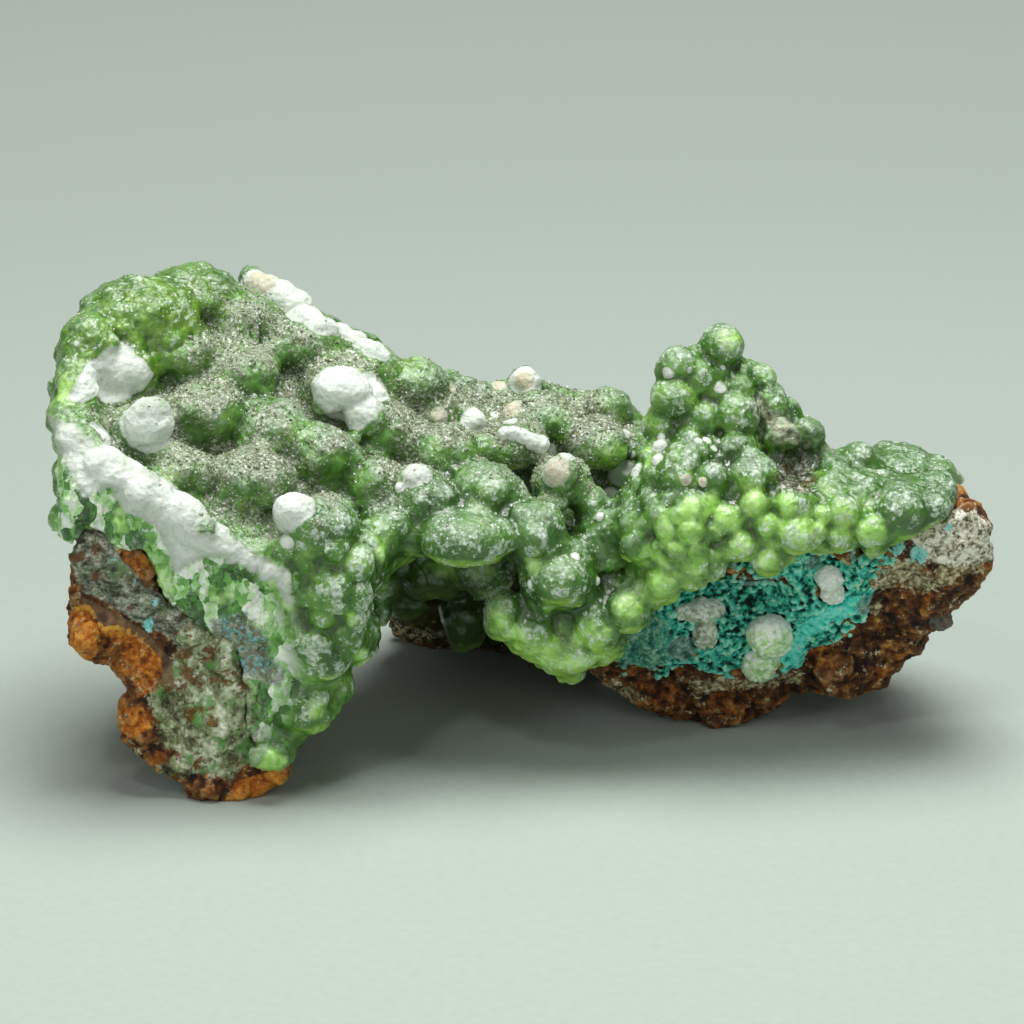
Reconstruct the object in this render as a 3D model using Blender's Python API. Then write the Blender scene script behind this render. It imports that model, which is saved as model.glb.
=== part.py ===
"""A hand specimen of smithsonite on limonite, 94 mm long, standing on its own broken feet.

The shapes are placed as a viewer sees them who looks along +Y and 22 degrees down: `across` and `up` are
millimetres as seen, `up` counted from the lowest point of the left foot, and `back` is the depth behind it.
"""

import math

import bmesh
import bpy
from mathutils import Matrix, Vector, noise
from mathutils.bvhtree import BVHTree

MM = 0.001
SPECIMEN_LENGTH = 94.0  # mm, left lobe to rocky tip
LENGTH_AS_PLACED = 94.0  # mm, the length that the placements below add up to
SIZE = MM * SPECIMEN_LENGTH / LENGTH_AS_PLACED

VIEW_TILT = math.radians(22)
GAP = 0.3  # mm, left between pieces that touch
FOOT_LEVEL = 0.1  # mm, the height at which the feet are broken off flat

# The upper surface of the left lobe and the bridge is one sloping plane.
TOP_AT_FRONT = 16.6  # mm, its height over the left foot at across 0
TOP_RISE = 0.5  # mm up for each mm back
TOP_FALL = 0.348  # mm down for each mm to the right

# The broken face on the left turns back at its left end. The one on the right overhangs its own foot.
LEFT_FACE_DEPTH = 1.2  # mm
LEFT_FACE_CORNER = -30.0  # mm across
LEFT_FACE_TURN = 0.12  # mm back for each mm left of that corner
RIGHT_FACE_DEPTH = 20.5  # mm, at the height RIGHT_FACE_LOW
RIGHT_FACE_LOW = 7.6  # mm up
RIGHT_FACE_LEAN = 0.45  # mm forward for each mm up

ROCK_GRAIN = 0.7  # mm, the finest step of each fused solid
CRUST_GRAIN = 0.6
LINING_GRAIN = 0.42
GROWTH_GRAIN = 0.35
ROCK_TRIANGLES = 2350
CRUST_TRIANGLES = 4300
LINING_TRIANGLES = 200
GROWTH_TRIANGLES = 130

LOOK_FROM = -60.0  # mm, a depth in front of the whole specimen
BLOCK_MEAN = 0.84  # radius of an angular block before its hull is taken, for a radius of 1
BLOCK_UNEVENNESS = 0.42
BLOCK_SHIFT = Vector((3.7, 1.9, 5.3))  # the step through the noise from one block's seed to the next
CUTTER_SWELL = 1.4  # times GAP, since the flats of a thinned mesh lie inside its rounds
STANDING_BLOCK = 200.0  # mm, larger than the specimen


def seen(across, up, back):
    """The point of the specimen that a viewer sees at (across, up), at the depth back."""
    height = (up - back * math.sin(VIEW_TILT)) / math.cos(VIEW_TILT)
    return Vector((across, back, height)) * SIZE


def top_depth(across, up):
    """How far back the sloping upper surface is where a viewer sees it at (across, up)."""
    height = up / math.cos(VIEW_TILT)
    return (height - TOP_AT_FRONT + TOP_FALL * across) / (TOP_RISE + math.tan(VIEW_TILT))


def left_face(across, up):
    """The depth of the broken face on the left."""
    return LEFT_FACE_DEPTH + LEFT_FACE_TURN * max(0.0, LEFT_FACE_CORNER - across)


def right_face(across, up):
    """The depth of the rock face on the right."""
    return RIGHT_FACE_DEPTH - RIGHT_FACE_LEAN * (up - RIGHT_FACE_LOW)


def uneven(spot, share, fineness):
    """A factor around 1 that varies smoothly from place to place by up to that share."""
    return 1 + share * noise.noise(spot * fineness)


def three(radii):
    """One radius or three, in mm, as a matrix that sizes a unit ball."""
    radii = radii if isinstance(radii, tuple) else (radii, radii, radii)
    return Matrix.Diagonal(Vector(radii) * SIZE).to_4x4()


def ball(shape, across, up, back, radii, detail=2):
    """Adds a round lump with its middle at the given place."""
    place = Matrix.Translation(seen(across, up, back)) @ three(radii)
    bmesh.ops.create_icosphere(shape, subdivisions=detail, radius=1.0, matrix=place)


def balls(shape, places):
    for place in places:
        ball(shape, *place)


def met(tree, across, up):
    """Where a look at (across, up) first meets the surface held in tree, and its normal there."""
    away = Vector((0, math.cos(VIEW_TILT), -math.sin(VIEW_TILT)))
    spot, normal, _, _ = tree.ray_cast(seen(across, up, LOOK_FROM), away)
    return spot, normal


def stud(shape, tree, across, up, radii, sunk=0.35):
    """Adds a round lump where a viewer sees the surface, sunk into it by that share of its least radius."""
    spot, normal = met(tree, across, up)
    if spot is None:
        return
    least = min(radii) if isinstance(radii, tuple) else radii
    place = Matrix.Translation(spot - normal * least * sunk * SIZE) @ three(radii)
    bmesh.ops.create_icosphere(shape, subdivisions=2, radius=1.0, matrix=place)


def studs(shape, places, sunk):
    """Adds lumps on the surface that the shape has so far."""
    tree = BVHTree.FromBMesh(shape)
    for across, up, radii in places:
        stud(shape, tree, across, up, radii, sunk)


def chain(shape, points, radius, step=0.8):
    """Adds a row of overlapping balls through points (across, up, back), as a vein or a rim stands up."""
    for start, end in zip(points, points[1:]):
        start = Vector(start)
        end = Vector(end)
        count = max(1, round((end - start).length / (radius * step)))
        for i in range(count + 1):
            spot = start.lerp(end, i / count)
            ball(shape, *spot, radius * uneven(spot, 0.3, 0.41))


def plate(shape, outline, depth, along, taper=1.0):
    """Adds a closed slab: an outline as seen, laid at depth(across, up) and drawn out by `along` in mm."""
    front = [seen(across, up, depth(across, up)) for across, up in outline]
    middle = sum(front, Vector()) / len(front)
    drawn = Vector(along) * SIZE
    near = [shape.verts.new(point) for point in front]
    far = [shape.verts.new(middle + (point - middle) * taper + drawn) for point in front]
    sides = [shape.faces.new(near), shape.faces.new(reversed(far))]
    count = len(front)
    for i in range(count):
        j = (i + 1) % count
        sides.append(shape.faces.new((near[j], near[i], far[i], far[j])))
    bmesh.ops.triangulate(shape, faces=sides)


def boulder(shape, across, up, back, radii, seed):
    """Adds an angular block: the hull of a ball's points pushed in and out unevenly."""
    block = bmesh.new()
    bmesh.ops.create_icosphere(block, subdivisions=2, radius=1.0)
    for vert in block.verts:
        vert.co *= BLOCK_MEAN + BLOCK_UNEVENNESS * noise.noise(vert.co * 1.3 + BLOCK_SHIFT * seed)
    hull = bmesh.ops.convex_hull(block, input=block.verts)
    inner = [part for part in hull["geom_interior"] if isinstance(part, bmesh.types.BMVert)]
    bmesh.ops.delete(block, geom=inner, context="VERTS")
    block.transform(Matrix.Translation(seen(across, up, back)) @ three(radii))
    mesh = bpy.data.meshes.new("block")
    block.to_mesh(mesh)
    block.free()
    shape.from_mesh(mesh)
    bpy.data.meshes.remove(mesh)


def applied(obj):
    """Gives the object the mesh that its modifiers make, and drops them."""
    graph = bpy.context.evaluated_depsgraph_get()
    mesh = bpy.data.meshes.new_from_object(obj.evaluated_get(graph))
    old = obj.data
    obj.modifiers.clear()
    obj.data = mesh
    bpy.data.meshes.remove(old)


def largest_body(obj):
    """Deletes all but the largest connected body."""
    shape = bmesh.new()
    shape.from_mesh(obj.data)
    left = set(shape.verts)
    bodies = []
    while left:
        found = {left.pop()}
        fringe = list(found)
        while fringe:
            vert = fringe.pop()
            for edge in vert.link_edges:
                other = edge.other_vert(vert)
                if other in left:
                    left.discard(other)
                    found.add(other)
                    fringe.append(other)
        bodies.append(found)
    bodies.sort(key=len)
    loose = [vert for body in bodies[:-1] for vert in body]
    bmesh.ops.delete(shape, geom=loose, context="VERTS")
    shape.to_mesh(obj.data)
    shape.free()


def fused(name, shape, grain, relief=()):
    """One solid from overlapping closed shapes. relief is a list of (kind, scale, strength) in mm."""
    mesh = bpy.data.meshes.new(name)
    bmesh.ops.recalc_face_normals(shape, faces=shape.faces)
    shape.to_mesh(mesh)
    shape.free()
    obj = bpy.data.objects.new(name, mesh)
    bpy.context.scene.collection.objects.link(obj)
    melt = obj.modifiers.new("melt", "REMESH")
    melt.mode = "VOXEL"
    melt.voxel_size = grain * SIZE
    soften = obj.modifiers.new("soften", "SMOOTH")
    soften.factor = 0.5
    soften.iterations = 2
    for number, (kind, scale, strength) in enumerate(relief):
        texture = bpy.data.textures.new(f"{name}_{number}", kind)
        texture.noise_scale = scale * SIZE
        rough = obj.modifiers.new(f"rough_{number}", "DISPLACE")
        rough.texture = texture
        rough.texture_coords = "LOCAL"
        rough.strength = strength * SIZE
        rough.mid_level = 0.5
    applied(obj)
    largest_body(obj)
    return obj


def thinned(obj, triangles):
    """Leaves the object about so many triangles."""
    obj.data.calc_loop_triangles()
    thin = obj.modifiers.new("thin", "DECIMATE")
    thin.ratio = min(1.0, triangles / len(obj.data.loop_triangles))
    thin.use_collapse_triangulate = True
    applied(obj)


def cut(obj, cutter, solver="EXACT"):
    """Takes the cutter's space out of the object and deletes the cutter."""
    less = obj.modifiers.new("less", "BOOLEAN")
    less.operation = "DIFFERENCE"
    less.solver = solver
    less.object = cutter
    applied(obj)
    bpy.data.objects.remove(cutter)
    largest_body(obj)


def stand(obj):
    """Breaks the object off flat at the surface it stands on."""
    reach = STANDING_BLOCK * SIZE
    bpy.ops.mesh.primitive_cube_add(size=reach, location=(0, 0, FOOT_LEVEL * SIZE - reach / 2))
    cut(obj, bpy.context.object)


def clear_of(obj, *others):
    """Takes the space of other pieces, and the gap around it, out of the object.

    A swollen cutter can cross itself in a crease. The exact solver then empties the result, so it is not used.
    """
    for other in others:
        cutter = other.copy()
        cutter.data = other.data.copy()
        bpy.context.scene.collection.objects.link(cutter)
        swell = cutter.modifiers.new("swell", "DISPLACE")
        swell.strength = CUTTER_SWELL * GAP * SIZE
        swell.mid_level = 0.0
        applied(cutter)
        cut(obj, cutter, "MANIFOLD")


def material(obj, hex_colour, roughness):
    """Gives the object a material of its own, from an sRGB colour."""
    made = bpy.data.materials.new(obj.name)
    made.use_nodes = True
    shader = made.node_tree.nodes["Principled BSDF"]
    channels = [int(hex_colour[i : i + 2], 16) / 255 for i in (1, 3, 5)]
    linear = [c / 12.92 if c <= 0.04045 else ((c + 0.055) / 1.055) ** 2.4 for c in channels]
    shader.inputs["Base Color"].default_value = (*linear, 1.0)
    shader.inputs["Roughness"].default_value = roughness
    shader.inputs["Metallic"].default_value = 0.0
    obj.data.materials.clear()
    obj.data.materials.append(made)


LEFT_ROCK_FACE = (
    (-44.5, 26.5),
    (-41.5, 28.0),
    (-38.0, 25.5),
    (-36.0, 20.5),
    (-32.0, 16.5),
    (-29.0, 15.5),
    (-28.0, 10.5),
    (-27.5, 6.0),
    (-23.5, 3.4),
    (-23.8, 1.8),
    (-27.3, 0.0),
    (-31.8, 0.0),
    (-33.3, 1.8),
    (-36.5, 3.2),
    (-39.4, 5.8),
    (-39.9, 9.3),
    (-38.6, 10.3),
    (-41.8, 14.3),
    (-43.8, 14.8),
    (-45.1, 16.3),
    (-45.1, 19.1),
    (-44.5, 23.8),
)
RIGHT_ROCK_FACE = (
    (6.7, 12.3),
    (11.7, 10.0),
    (15.3, 8.6),
    (17.7, 7.4),
    (21.7, 7.4),
    (25.0, 8.9),
    (28.6, 10.6),
    (31.2, 10.2),
    (36.3, 11.2),
    (39.2, 14.5),
    (43.1, 18.9),
    (46.0, 21.9),
    (47.2, 25.1),
    (46.2, 27.8),
    (44.8, 29.2),
    (41.5, 27.4),
    (37.7, 26.4),
    (33.7, 26.0),
    (27.7, 26.3),
    (17.7, 24.0),
    (11.7, 20.0),
    (7.7, 16.0),
)


def limonite():
    """The host rock: left foot, rear foot, the backbone between them and the right-hand block."""
    shape = bmesh.new()
    plate(shape, LEFT_ROCK_FACE, left_face, (2.0, 12.0, 1.5), 0.86)
    plate(shape, RIGHT_ROCK_FACE, right_face, (-1.5, 12.0, -0.2), 0.9)
    for number, block in enumerate(
        (
            (-35.5, 33.0, 23.0, (9.5, 9.5, 7.0)),
            (-38.0, 26.0, 13.0, (6.5, 6.5, 7.0)),
            (-24.0, 33.2, 26.0, (12.0, 9.5, 6.5)),
            (-10.0, 31.6, 32.0, (12.0, 7.0, 7.0)),
            (3.0, 30.5, 30.0, (12.0, 8.5, 8.0)),
            (14.0, 28.5, 30.0, (8.0, 8.0, 7.0)),
            (0.0, 26.0, 34.0, (8.0, 5.0, 7.0)),
            (-8.0, 25.5, 38.0, (9.5, 6.0, 9.5)),
            (-6.5, 18.9, 42.0, (8.5, 4.8, 5.6)),
            (4.0, 21.0, 37.0, (7.5, 6.0, 8.5)),
            (19.0, 22.5, 31.0, (12.0, 9.0, 8.5)),
            (34.0, 24.5, 28.0, (9.0, 8.5, 7.0)),
            (26.2, 36.0, 21.0, (3.2, 4.0, 4.4)),
            (-36.8, 7.2, 3.5, (2.6, 3.0, 2.6)),
            (-42.5, 16.8, 2.8, (2.6, 2.6, 2.4)),
            (-30.5, 8.0, 2.2, (2.4, 2.2, 2.6)),
            (-29.8, 2.2, 3.6, (4.2, 3.8, 3.2)),
            (43.0, 24.8, 16.0, (3.6, 5.0, 4.0)),
            (20.0, 9.4, 21.0, (3.6, 3.4, 2.6)),
            (32.5, 13.0, 18.5, (4.0, 3.4, 2.6)),
            (-28.0, 9.5, 13.0, (5.5, 4.5, 5.0)),
        )
    ):
        boulder(shape, *block, seed=number + 1)
    obj = fused("limonite_matrix", shape, ROCK_GRAIN, (("CLOUDS", 4.5, 2.4), ("VORONOI", 2.6, 1.2)))
    hollow = bmesh.new()
    for place in (
        (20.5, 19.2, 12.5, (8.5, 5.4, 4.4)),
        (12.5, 17.0, 13.5, (5.0, 3.4, 3.4)),
        (30.0, 22.5, 11.0, (5.5, 3.6, 3.0)),
        (15.4, 10.6, 17.0, (2.8, 3.4, 1.9)),
        (-40.0, 15.5, 0.0, (3.0, 2.6, 3.4)),
        (-35.5, 13.5, -0.6, (2.4, 2.4, 3.0)),
    ):
        ball(hollow, *place)
    cut(obj, fused("hollow", hollow, ROCK_GRAIN))
    thinned(obj, ROCK_TRIANGLES)
    stand(obj)
    material(obj, "#6a3d1c", 0.85)
    return obj


LOBE_OUTLINE = (
    (-46.4, 37.3),
    (-46.9, 40.3),
    (-46.1, 46.0),
    (-44.6, 48.8),
    (-41.1, 51.0),
    (-37.8, 52.2),
    (-33.8, 52.5),
    (-30.8, 51.8),
    (-27.8, 51.8),
    (-22.3, 49.8),
    (-19.3, 47.3),
    (-13.5, 44.3),
    (-9.3, 43.0),
    (-10.0, 30.0),
    (-14.0, 23.5),
    (-22.6, 24.0),
    (-28.3, 27.0),
    (-32.8, 28.5),
    (-36.3, 31.5),
    (-40.1, 34.6),
    (-43.6, 35.8),
)
BRIDGE_OUTLINE = (
    (-13.5, 44.3),
    (-9.3, 43.6),
    (-5.3, 42.3),
    (1.8, 42.5),
    (7.7, 41.2),
    (11.5, 39.4),
    (14.0, 34.0),
    (13.0, 27.0),
    (7.7, 22.5),
    (-2.3, 24.8),
    (-7.3, 25.0),
    (-13.8, 25.5),
    (-17.0, 27.0),
)
LEG_OUTLINE = (
    (-46.0, 34.0),
    (-42.6, 34.5),
    (-35.3, 30.5),
    (-28.3, 26.0),
    (-20.0, 25.5),
    (-14.8, 24.3),
    (-14.8, 18.0),
    (-17.0, 14.0),
    (-19.6, 9.3),
    (-22.5, 6.1),
    (-24.7, 3.6),
    (-26.4, 3.2),
    (-28.3, 6.3),
    (-29.0, 11.0),
    (-30.8, 16.3),
    (-35.3, 19.3),
    (-37.3, 22.3),
    (-41.3, 26.0),
    (-45.6, 25.5),
)
LOBE_MIDDLE = (-24.0, 40.0)
BRIDGE_MIDDLE = (0.0, 34.0)
LEFT_END = -43.8  # mm across, where the lobe's left end is filled out
LEFT_END_LOW = 25.8  # mm up at depth 0
LEFT_END_RISE = 0.84  # mm seen upwards for each mm back
LEFT_END_BACKS = (8.0, 13.0, 18.0, 23.0)
RIM_ROWS = (  # share of the way to the next point, mm inward, mm down, radius
    (0.0, 2.4, 0.6, 2.5),
    (0.5, 2.0, 0.4, 2.1),
    (0.3, 3.6, 4.2, 2.9),
    (0.8, 4.2, 6.6, 2.6),
)


def smithsonite():
    """The botryoidal crust with its tower, its nodules and its broken white vein, grown as one."""
    shape = bmesh.new()
    plate(shape, LOBE_OUTLINE, top_depth, (0.0, 6.0, -5.0))
    plate(shape, BRIDGE_OUTLINE, top_depth, (0.0, 5.5, -3.0))
    plate(shape, LEG_OUTLINE, left_face, (-1.0, 10.0, 1.5), 0.92)
    for build in (left_lobe, leg, bridge, tower, curtain, right_lump, nodules):
        build(shape)
    obj = fused("smithsonite_crust", shape, CRUST_GRAIN)
    thinned(obj, CRUST_TRIANGLES)
    return obj


def left_lobe(shape):
    studs(
        shape,
        (
            (-39.0, 47.4, (6.6, 5.5, 4.2)),
            (-33.5, 49.8, (5.4, 4.5, 3.4)),
            (-43.6, 44.5, (3.4, 4.6, 3.8)),
            (-44.6, 40.0, (2.4, 3.0, 3.2)),
            (-40.5, 42.6, (4.2, 2.4, 2.4)),
            (-35.0, 44.5, (4.5, 4.0, 2.6)),
            (-29.3, 48.0, (4.6, 4.6, 2.8)),
            (-28.5, 42.5, (4.2, 4.0, 2.8)),
            (-23.0, 45.5, (4.4, 4.0, 2.8)),
            (-32.0, 38.3, (4.2, 4.0, 3.0)),
            (-25.7, 36.8, (4.4, 4.0, 2.8)),
            (-19.0, 40.6, (4.2, 4.0, 2.8)),
            (-27.5, 31.7, (4.4, 4.0, 3.0)),
            (-34.2, 33.0, (3.2, 3.0, 2.2)),
            (-20.5, 34.0, (4.0, 3.6, 3.0)),
            (-14.2, 36.8, (3.8, 3.8, 2.8)),
            (-16.0, 43.0, (3.6, 3.4, 2.6)),
            (-38.5, 37.0, (3.2, 3.0, 2.0)),
            (-11.0, 41.5, (3.4, 3.4, 2.4)),
        ),
        0.45,
    )
    rim = ((-27.0, 52.0), (-23.3, 50.0), (-20.0, 47.8), (-14.3, 44.6))
    chain(shape, [(a, u, top_depth(a, u)) for a, u in rim], 1.5)
    vein = ((-44.6, 36.6), (-42.0, 33.8), (-37.5, 31.4), (-34.0, 28.6), (-29.0, 25.2), (-23.5, 22.3))
    chain(shape, [(a, u, max(left_face(a, u) + 0.6, top_depth(a, u) - 1.5)) for a, u in vein], 1.9)
    rim_lumps(shape, LOBE_OUTLINE[:12], LOBE_MIDDLE)
    for back in LEFT_END_BACKS:
        ball(shape, LEFT_END, LEFT_END_LOW + LEFT_END_RISE * back, back, (3.2, 3.4, 3.6))


def rim_lumps(shape, edge, middle, rows=RIM_ROWS):
    """Rows of lumps that roll the crust over its edge, the lower rows further in."""
    for (across, up), (next_across, next_up) in zip(edge, edge[1:]):
        back = top_depth(across, up)
        for share, inward, drop, radius in rows:
            a = across + (next_across - across) * share
            u = up + (next_up - up) * share
            toward = Vector((middle[0] - a, middle[1] - u)).normalized() * inward
            ball(shape, a + toward.x, u + toward.y - drop, back + 1.0, radius)


def leg(shape):
    balls(
        shape,
        (
            (-20.5, 27.5, 4.5, (4.4, 4.0, 3.6)),
            (-15.7, 24.5, 6.5, (2.6, 4.0, 4.0)),
            (-19.0, 21.5, 3.5, (4.4, 4.0, 3.6)),
            (-20.8, 16.0, 3.2, (4.0, 3.8, 3.8)),
            (-16.4, 16.8, 5.5, (2.6, 3.4, 3.0)),
            (-21.4, 10.2, 3.6, (3.2, 3.8, 3.4)),
            (-19.4, 12.0, 5.5, (2.6, 3.4, 3.2)),
            (-24.8, 5.6, 3.0, (2.6, 3.0, 2.6)),
            (-25.8, 12.2, 2.6, (3.4, 2.6, 3.2)),
            (-32.6, 22.0, 2.8, (3.4, 2.6, 3.0)),
            (-27.0, 18.6, 2.2, (3.6, 2.4, 3.2)),
            (-43.6, 31.0, 4.0, (2.8, 3.4, 3.6)),
            (-38.6, 27.6, 3.0, (3.4, 2.4, 2.8)),
            (-18.0, 19.0, 9.5, (3.0, 4.4, 5.0)),
        ),
    )


def bridge(shape):
    rim_lumps(shape, BRIDGE_OUTLINE[1:7], BRIDGE_MIDDLE, RIM_ROWS[:2])
    balls(
        shape,
        (
            (-5.8, 26.6, 8.5, (5.0, 4.0, 3.0)),
            (-13.6, 27.4, 8.5, (2.6, 3.2, 2.4)),
            (-9.8, 30.5, 11.5, (3.4, 3.4, 2.8)),
            (-3.5, 31.5, 13.0, (3.6, 3.6, 2.8)),
            (1.2, 27.3, 10.0, (3.4, 3.8, 3.2)),
            (-14.5, 32.0, 13.0, (3.2, 3.2, 2.6)),
            (-8.0, 35.5, 18.0, (4.0, 3.6, 2.6)),
            (-1.0, 36.0, 20.5, (4.0, 3.6, 2.6)),
            (4.0, 32.0, 15.5, (3.4, 3.4, 2.6)),
            (3.5, 22.8, 9.5, (4.2, 4.4, 3.6)),
            (-2.2, 19.0, 9.6, (2.0, 3.0, 2.8)),
            (0.8, 17.6, 10.0, (3.0, 3.6, 3.4)),
            (3.6, 15.8, 10.6, (3.4, 4.0, 3.4)),
            (4.8, 14.2, 11.5, (2.2, 2.8, 2.0)),
            (7.2, 18.4, 10.0, (3.4, 3.8, 3.4)),
            (-11.8, 21.8, 29.0, (2.6, 4.0, 4.4)),
            (-6.0, 18.8, 28.0, (2.6, 3.6, 4.2)),
            (-9.0, 24.0, 25.0, (4.4, 4.4, 4.0)),
            (-4.0, 24.5, 22.0, (4.0, 4.4, 4.0)),
            (-13.0, 26.5, 20.0, (3.2, 4.4, 3.0)),
            (-14.8, 21.5, 20.0, (2.0, 4.4, 4.0)),
            (12.0, 34.0, 27.5, (5.0, 5.0, 4.0)),
            (8.5, 26.5, 13.5, (3.6, 4.0, 4.0)),
            (2.0, 38.6, 26.5, (4.0, 4.0, 2.8)),
            (-9.0, 39.5, 27.0, (4.0, 4.0, 2.6)),
            (7.5, 36.0, 22.5, (3.6, 4.0, 2.6)),
        ),
    )


def tower(shape):
    balls(
        shape,
        (
            (19.7, 45.4, 19.0, 2.3),
            (15.6, 43.9, 18.0, 2.2),
            (15.0, 40.4, 16.8, 2.2),
            (14.3, 42.4, 17.6, 1.5),
            (14.0, 37.8, 16.5, 2.0),
            (20.2, 40.4, 19.0, 3.6),
            (17.6, 42.6, 18.5, 2.8),
            (21.2, 38.7, 16.6, 2.2),
            (21.8, 42.8, 20.5, 2.0),
            (17.4, 38.4, 16.8, 2.6),
            (24.0, 39.8, 20.0, 2.2),
            (23.6, 42.0, 20.5, 1.8),
            (26.2, 38.9, 20.5, 2.0),
            (19.2, 35.6, 18.5, (5.5, 4.5, 4.0)),
            (19.0, 38.5, 23.0, 3.8),
            (17.0, 34.5, 25.0, (6.0, 5.0, 4.0)),
            (21.5, 35.2, 14.5, 2.2),
            (16.6, 35.4, 14.0, 2.3),
            (13.4, 34.6, 14.5, 2.0),
            (26.1, 36.0, 17.0, 1.8),
            (28.6, 36.0, 19.0, 1.7),
        ),
    )


def curtain(shape):
    balls(
        shape,
        (
            (28.5, 29.8, 16.0, (12.0, 7.0, 4.4), 3),
            (17.0, 30.0, 14.5, (7.5, 6.5, 6.5), 3),
            (15.4, 32.4, 11.5, 2.3),
            (18.8, 32.4, 11.3, 2.1),
            (23.2, 32.2, 12.0, (3.4, 2.8, 2.4)),
            (16.2, 28.4, 9.8, (3.8, 3.4, 3.6)),
            (16.6, 24.6, 9.4, (4.0, 3.4, 3.6)),
            (12.0, 27.0, 11.0, (3.2, 3.4, 4.0)),
            (13.7, 21.6, 9.0, 2.2),
            (10.5, 19.6, 9.2, 2.6),
            (8.2, 16.4, 10.2, 2.6),
            (20.1, 28.1, 8.9, 1.8),
            (22.9, 29.5, 9.4, 1.8),
            (21.5, 25.9, 8.8, 1.8),
            (24.4, 23.9, 9.2, 1.7),
            (24.9, 26.8, 9.0, 1.7),
            (27.3, 27.0, 9.6, 2.4),
            (27.0, 30.4, 11.0, 2.2),
            (30.4, 29.4, 11.3, 2.0),
            (32.3, 28.7, 11.4, 2.1),
            (31.6, 26.3, 11.0, 1.8),
            (34.5, 26.7, 11.6, 1.9),
            (35.5, 29.4, 13.2, 2.2),
        ),
    )


def right_lump(shape):
    balls(
        shape,
        (
            (33.6, 34.0, 20.0, (2.4, 3.0, 2.4)),
            (37.6, 32.6, 22.0, (4.6, 5.0, 3.6)),
            (41.3, 31.8, 20.5, (2.8, 4.2, 3.0)),
            (37.4, 29.4, 14.0, (4.0, 4.4, 3.4)),
            (40.6, 30.4, 15.0, (3.2, 4.4, 2.6)),
            (35.6, 27.6, 12.0, (2.4, 2.6, 2.4)),
            (37.0, 29.5, 24.0, (7.0, 8.0, 4.4), 3),
            (26.0, 30.5, 26.0, (9.0, 8.0, 4.6), 3),
            (31.0, 33.0, 18.0, (3.0, 3.0, 2.4)),
        ),
    )


def nodules(shape):
    studs(
        shape,
        (
            (-37.0, 38.2, 2.3),
            (-22.9, 29.3, 2.1),
            (-18.7, 42.0, (2.5, 2.5, 1.8)),
            (-14.0, 41.2, (2.3, 2.3, 1.8)),
            (-15.9, 39.0, (2.2, 2.2, 1.7)),
            (-10.7, 32.9, 1.5),
            (-5.0, 38.2, 1.4),
            (-1.1, 39.4, 1.2),
            (0.2, 42.2, 1.7),
            (3.5, 33.0, 1.5),
            (10.2, 32.8, 1.8),
            (9.0, 40.0, 1.6),
        ),
        0.2,
    )
    tree = BVHTree.FromBMesh(shape)
    worm = ((-1.9, 37.3), (-0.4, 36.9), (0.9, 36.3), (2.0, 35.5), (3.0, 34.8), (4.2, 34.0))
    for across, up in worm:
        stud(shape, tree, across, up, 1.0, 0.1)


POCKET_OUTLINE = (
    (7.5, 16.3),
    (12.7, 19.3),
    (17.7, 23.3),
    (23.7, 23.3),
    (27.7, 24.8),
    (33.7, 24.8),
    (36.2, 22.3),
    (34.7, 19.3),
    (30.7, 16.3),
    (27.7, 14.3),
    (25.2, 12.1),
    (19.7, 12.8),
    (16.7, 14.3),
    (11.7, 13.8),
    (7.7, 12.8),
)
LINING_STEP = 1.25  # mm between the heads of the turquoise crust
LINING_RADIUS = 1.05


def inside(outline, across, up):
    """Whether a point lies within a closed outline."""
    odd = False
    for (a, b), (c, d) in zip(outline, outline[1:] + outline[:1]):
        if (b > up) != (d > up) and across < a + (up - b) * (c - a) / (d - b):
            odd = not odd
    return odd


def surface_of(*objects):
    """The surfaces of several objects as one tree for looking at."""
    shape = bmesh.new()
    for obj in objects:
        shape.from_mesh(obj.data)
    tree = BVHTree.FromBMesh(shape)
    shape.free()
    return tree


def aurichalcite(rock, neighbours):
    """The turquoise crust that lines the pocket, as small heads side by side."""
    shape = bmesh.new()
    tree = surface_of(rock)
    left = min(across for across, _ in POCKET_OUTLINE)
    low = min(up for _, up in POCKET_OUTLINE)
    rows = round((max(up for _, up in POCKET_OUTLINE) - low) / LINING_STEP)
    columns = round((max(across for across, _ in POCKET_OUTLINE) - left) / LINING_STEP)
    for row in range(rows + 1):
        for column in range(columns + 1):
            across = left + LINING_STEP * (column + 0.5 * (row % 2))
            up = low + LINING_STEP * row
            if inside(POCKET_OUTLINE, across, up):
                radius = LINING_RADIUS * uneven(Vector((across, up, 3.0)), 0.4, 0.8)
                stud(shape, tree, across, up, radius, 0.0)
    obj = fused("aurichalcite_lining", shape, LINING_GRAIN)
    thinned(obj, LINING_TRIANGLES)
    clear_of(obj, *neighbours)
    material(obj, "#1fa79a", 0.9)
    return obj


def growth(name, places, carriers, hex_colour):
    """A small growth of balls that sits on what carries it."""
    shape = bmesh.new()
    tree = surface_of(*carriers)
    for across, up, radii in places:
        stud(shape, tree, across, up, radii, -0.35)
    obj = fused(name, shape, GROWTH_GRAIN)
    thinned(obj, GROWTH_TRIANGLES)
    clear_of(obj, *carriers)
    material(obj, hex_colour, 0.4)
    return obj


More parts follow.
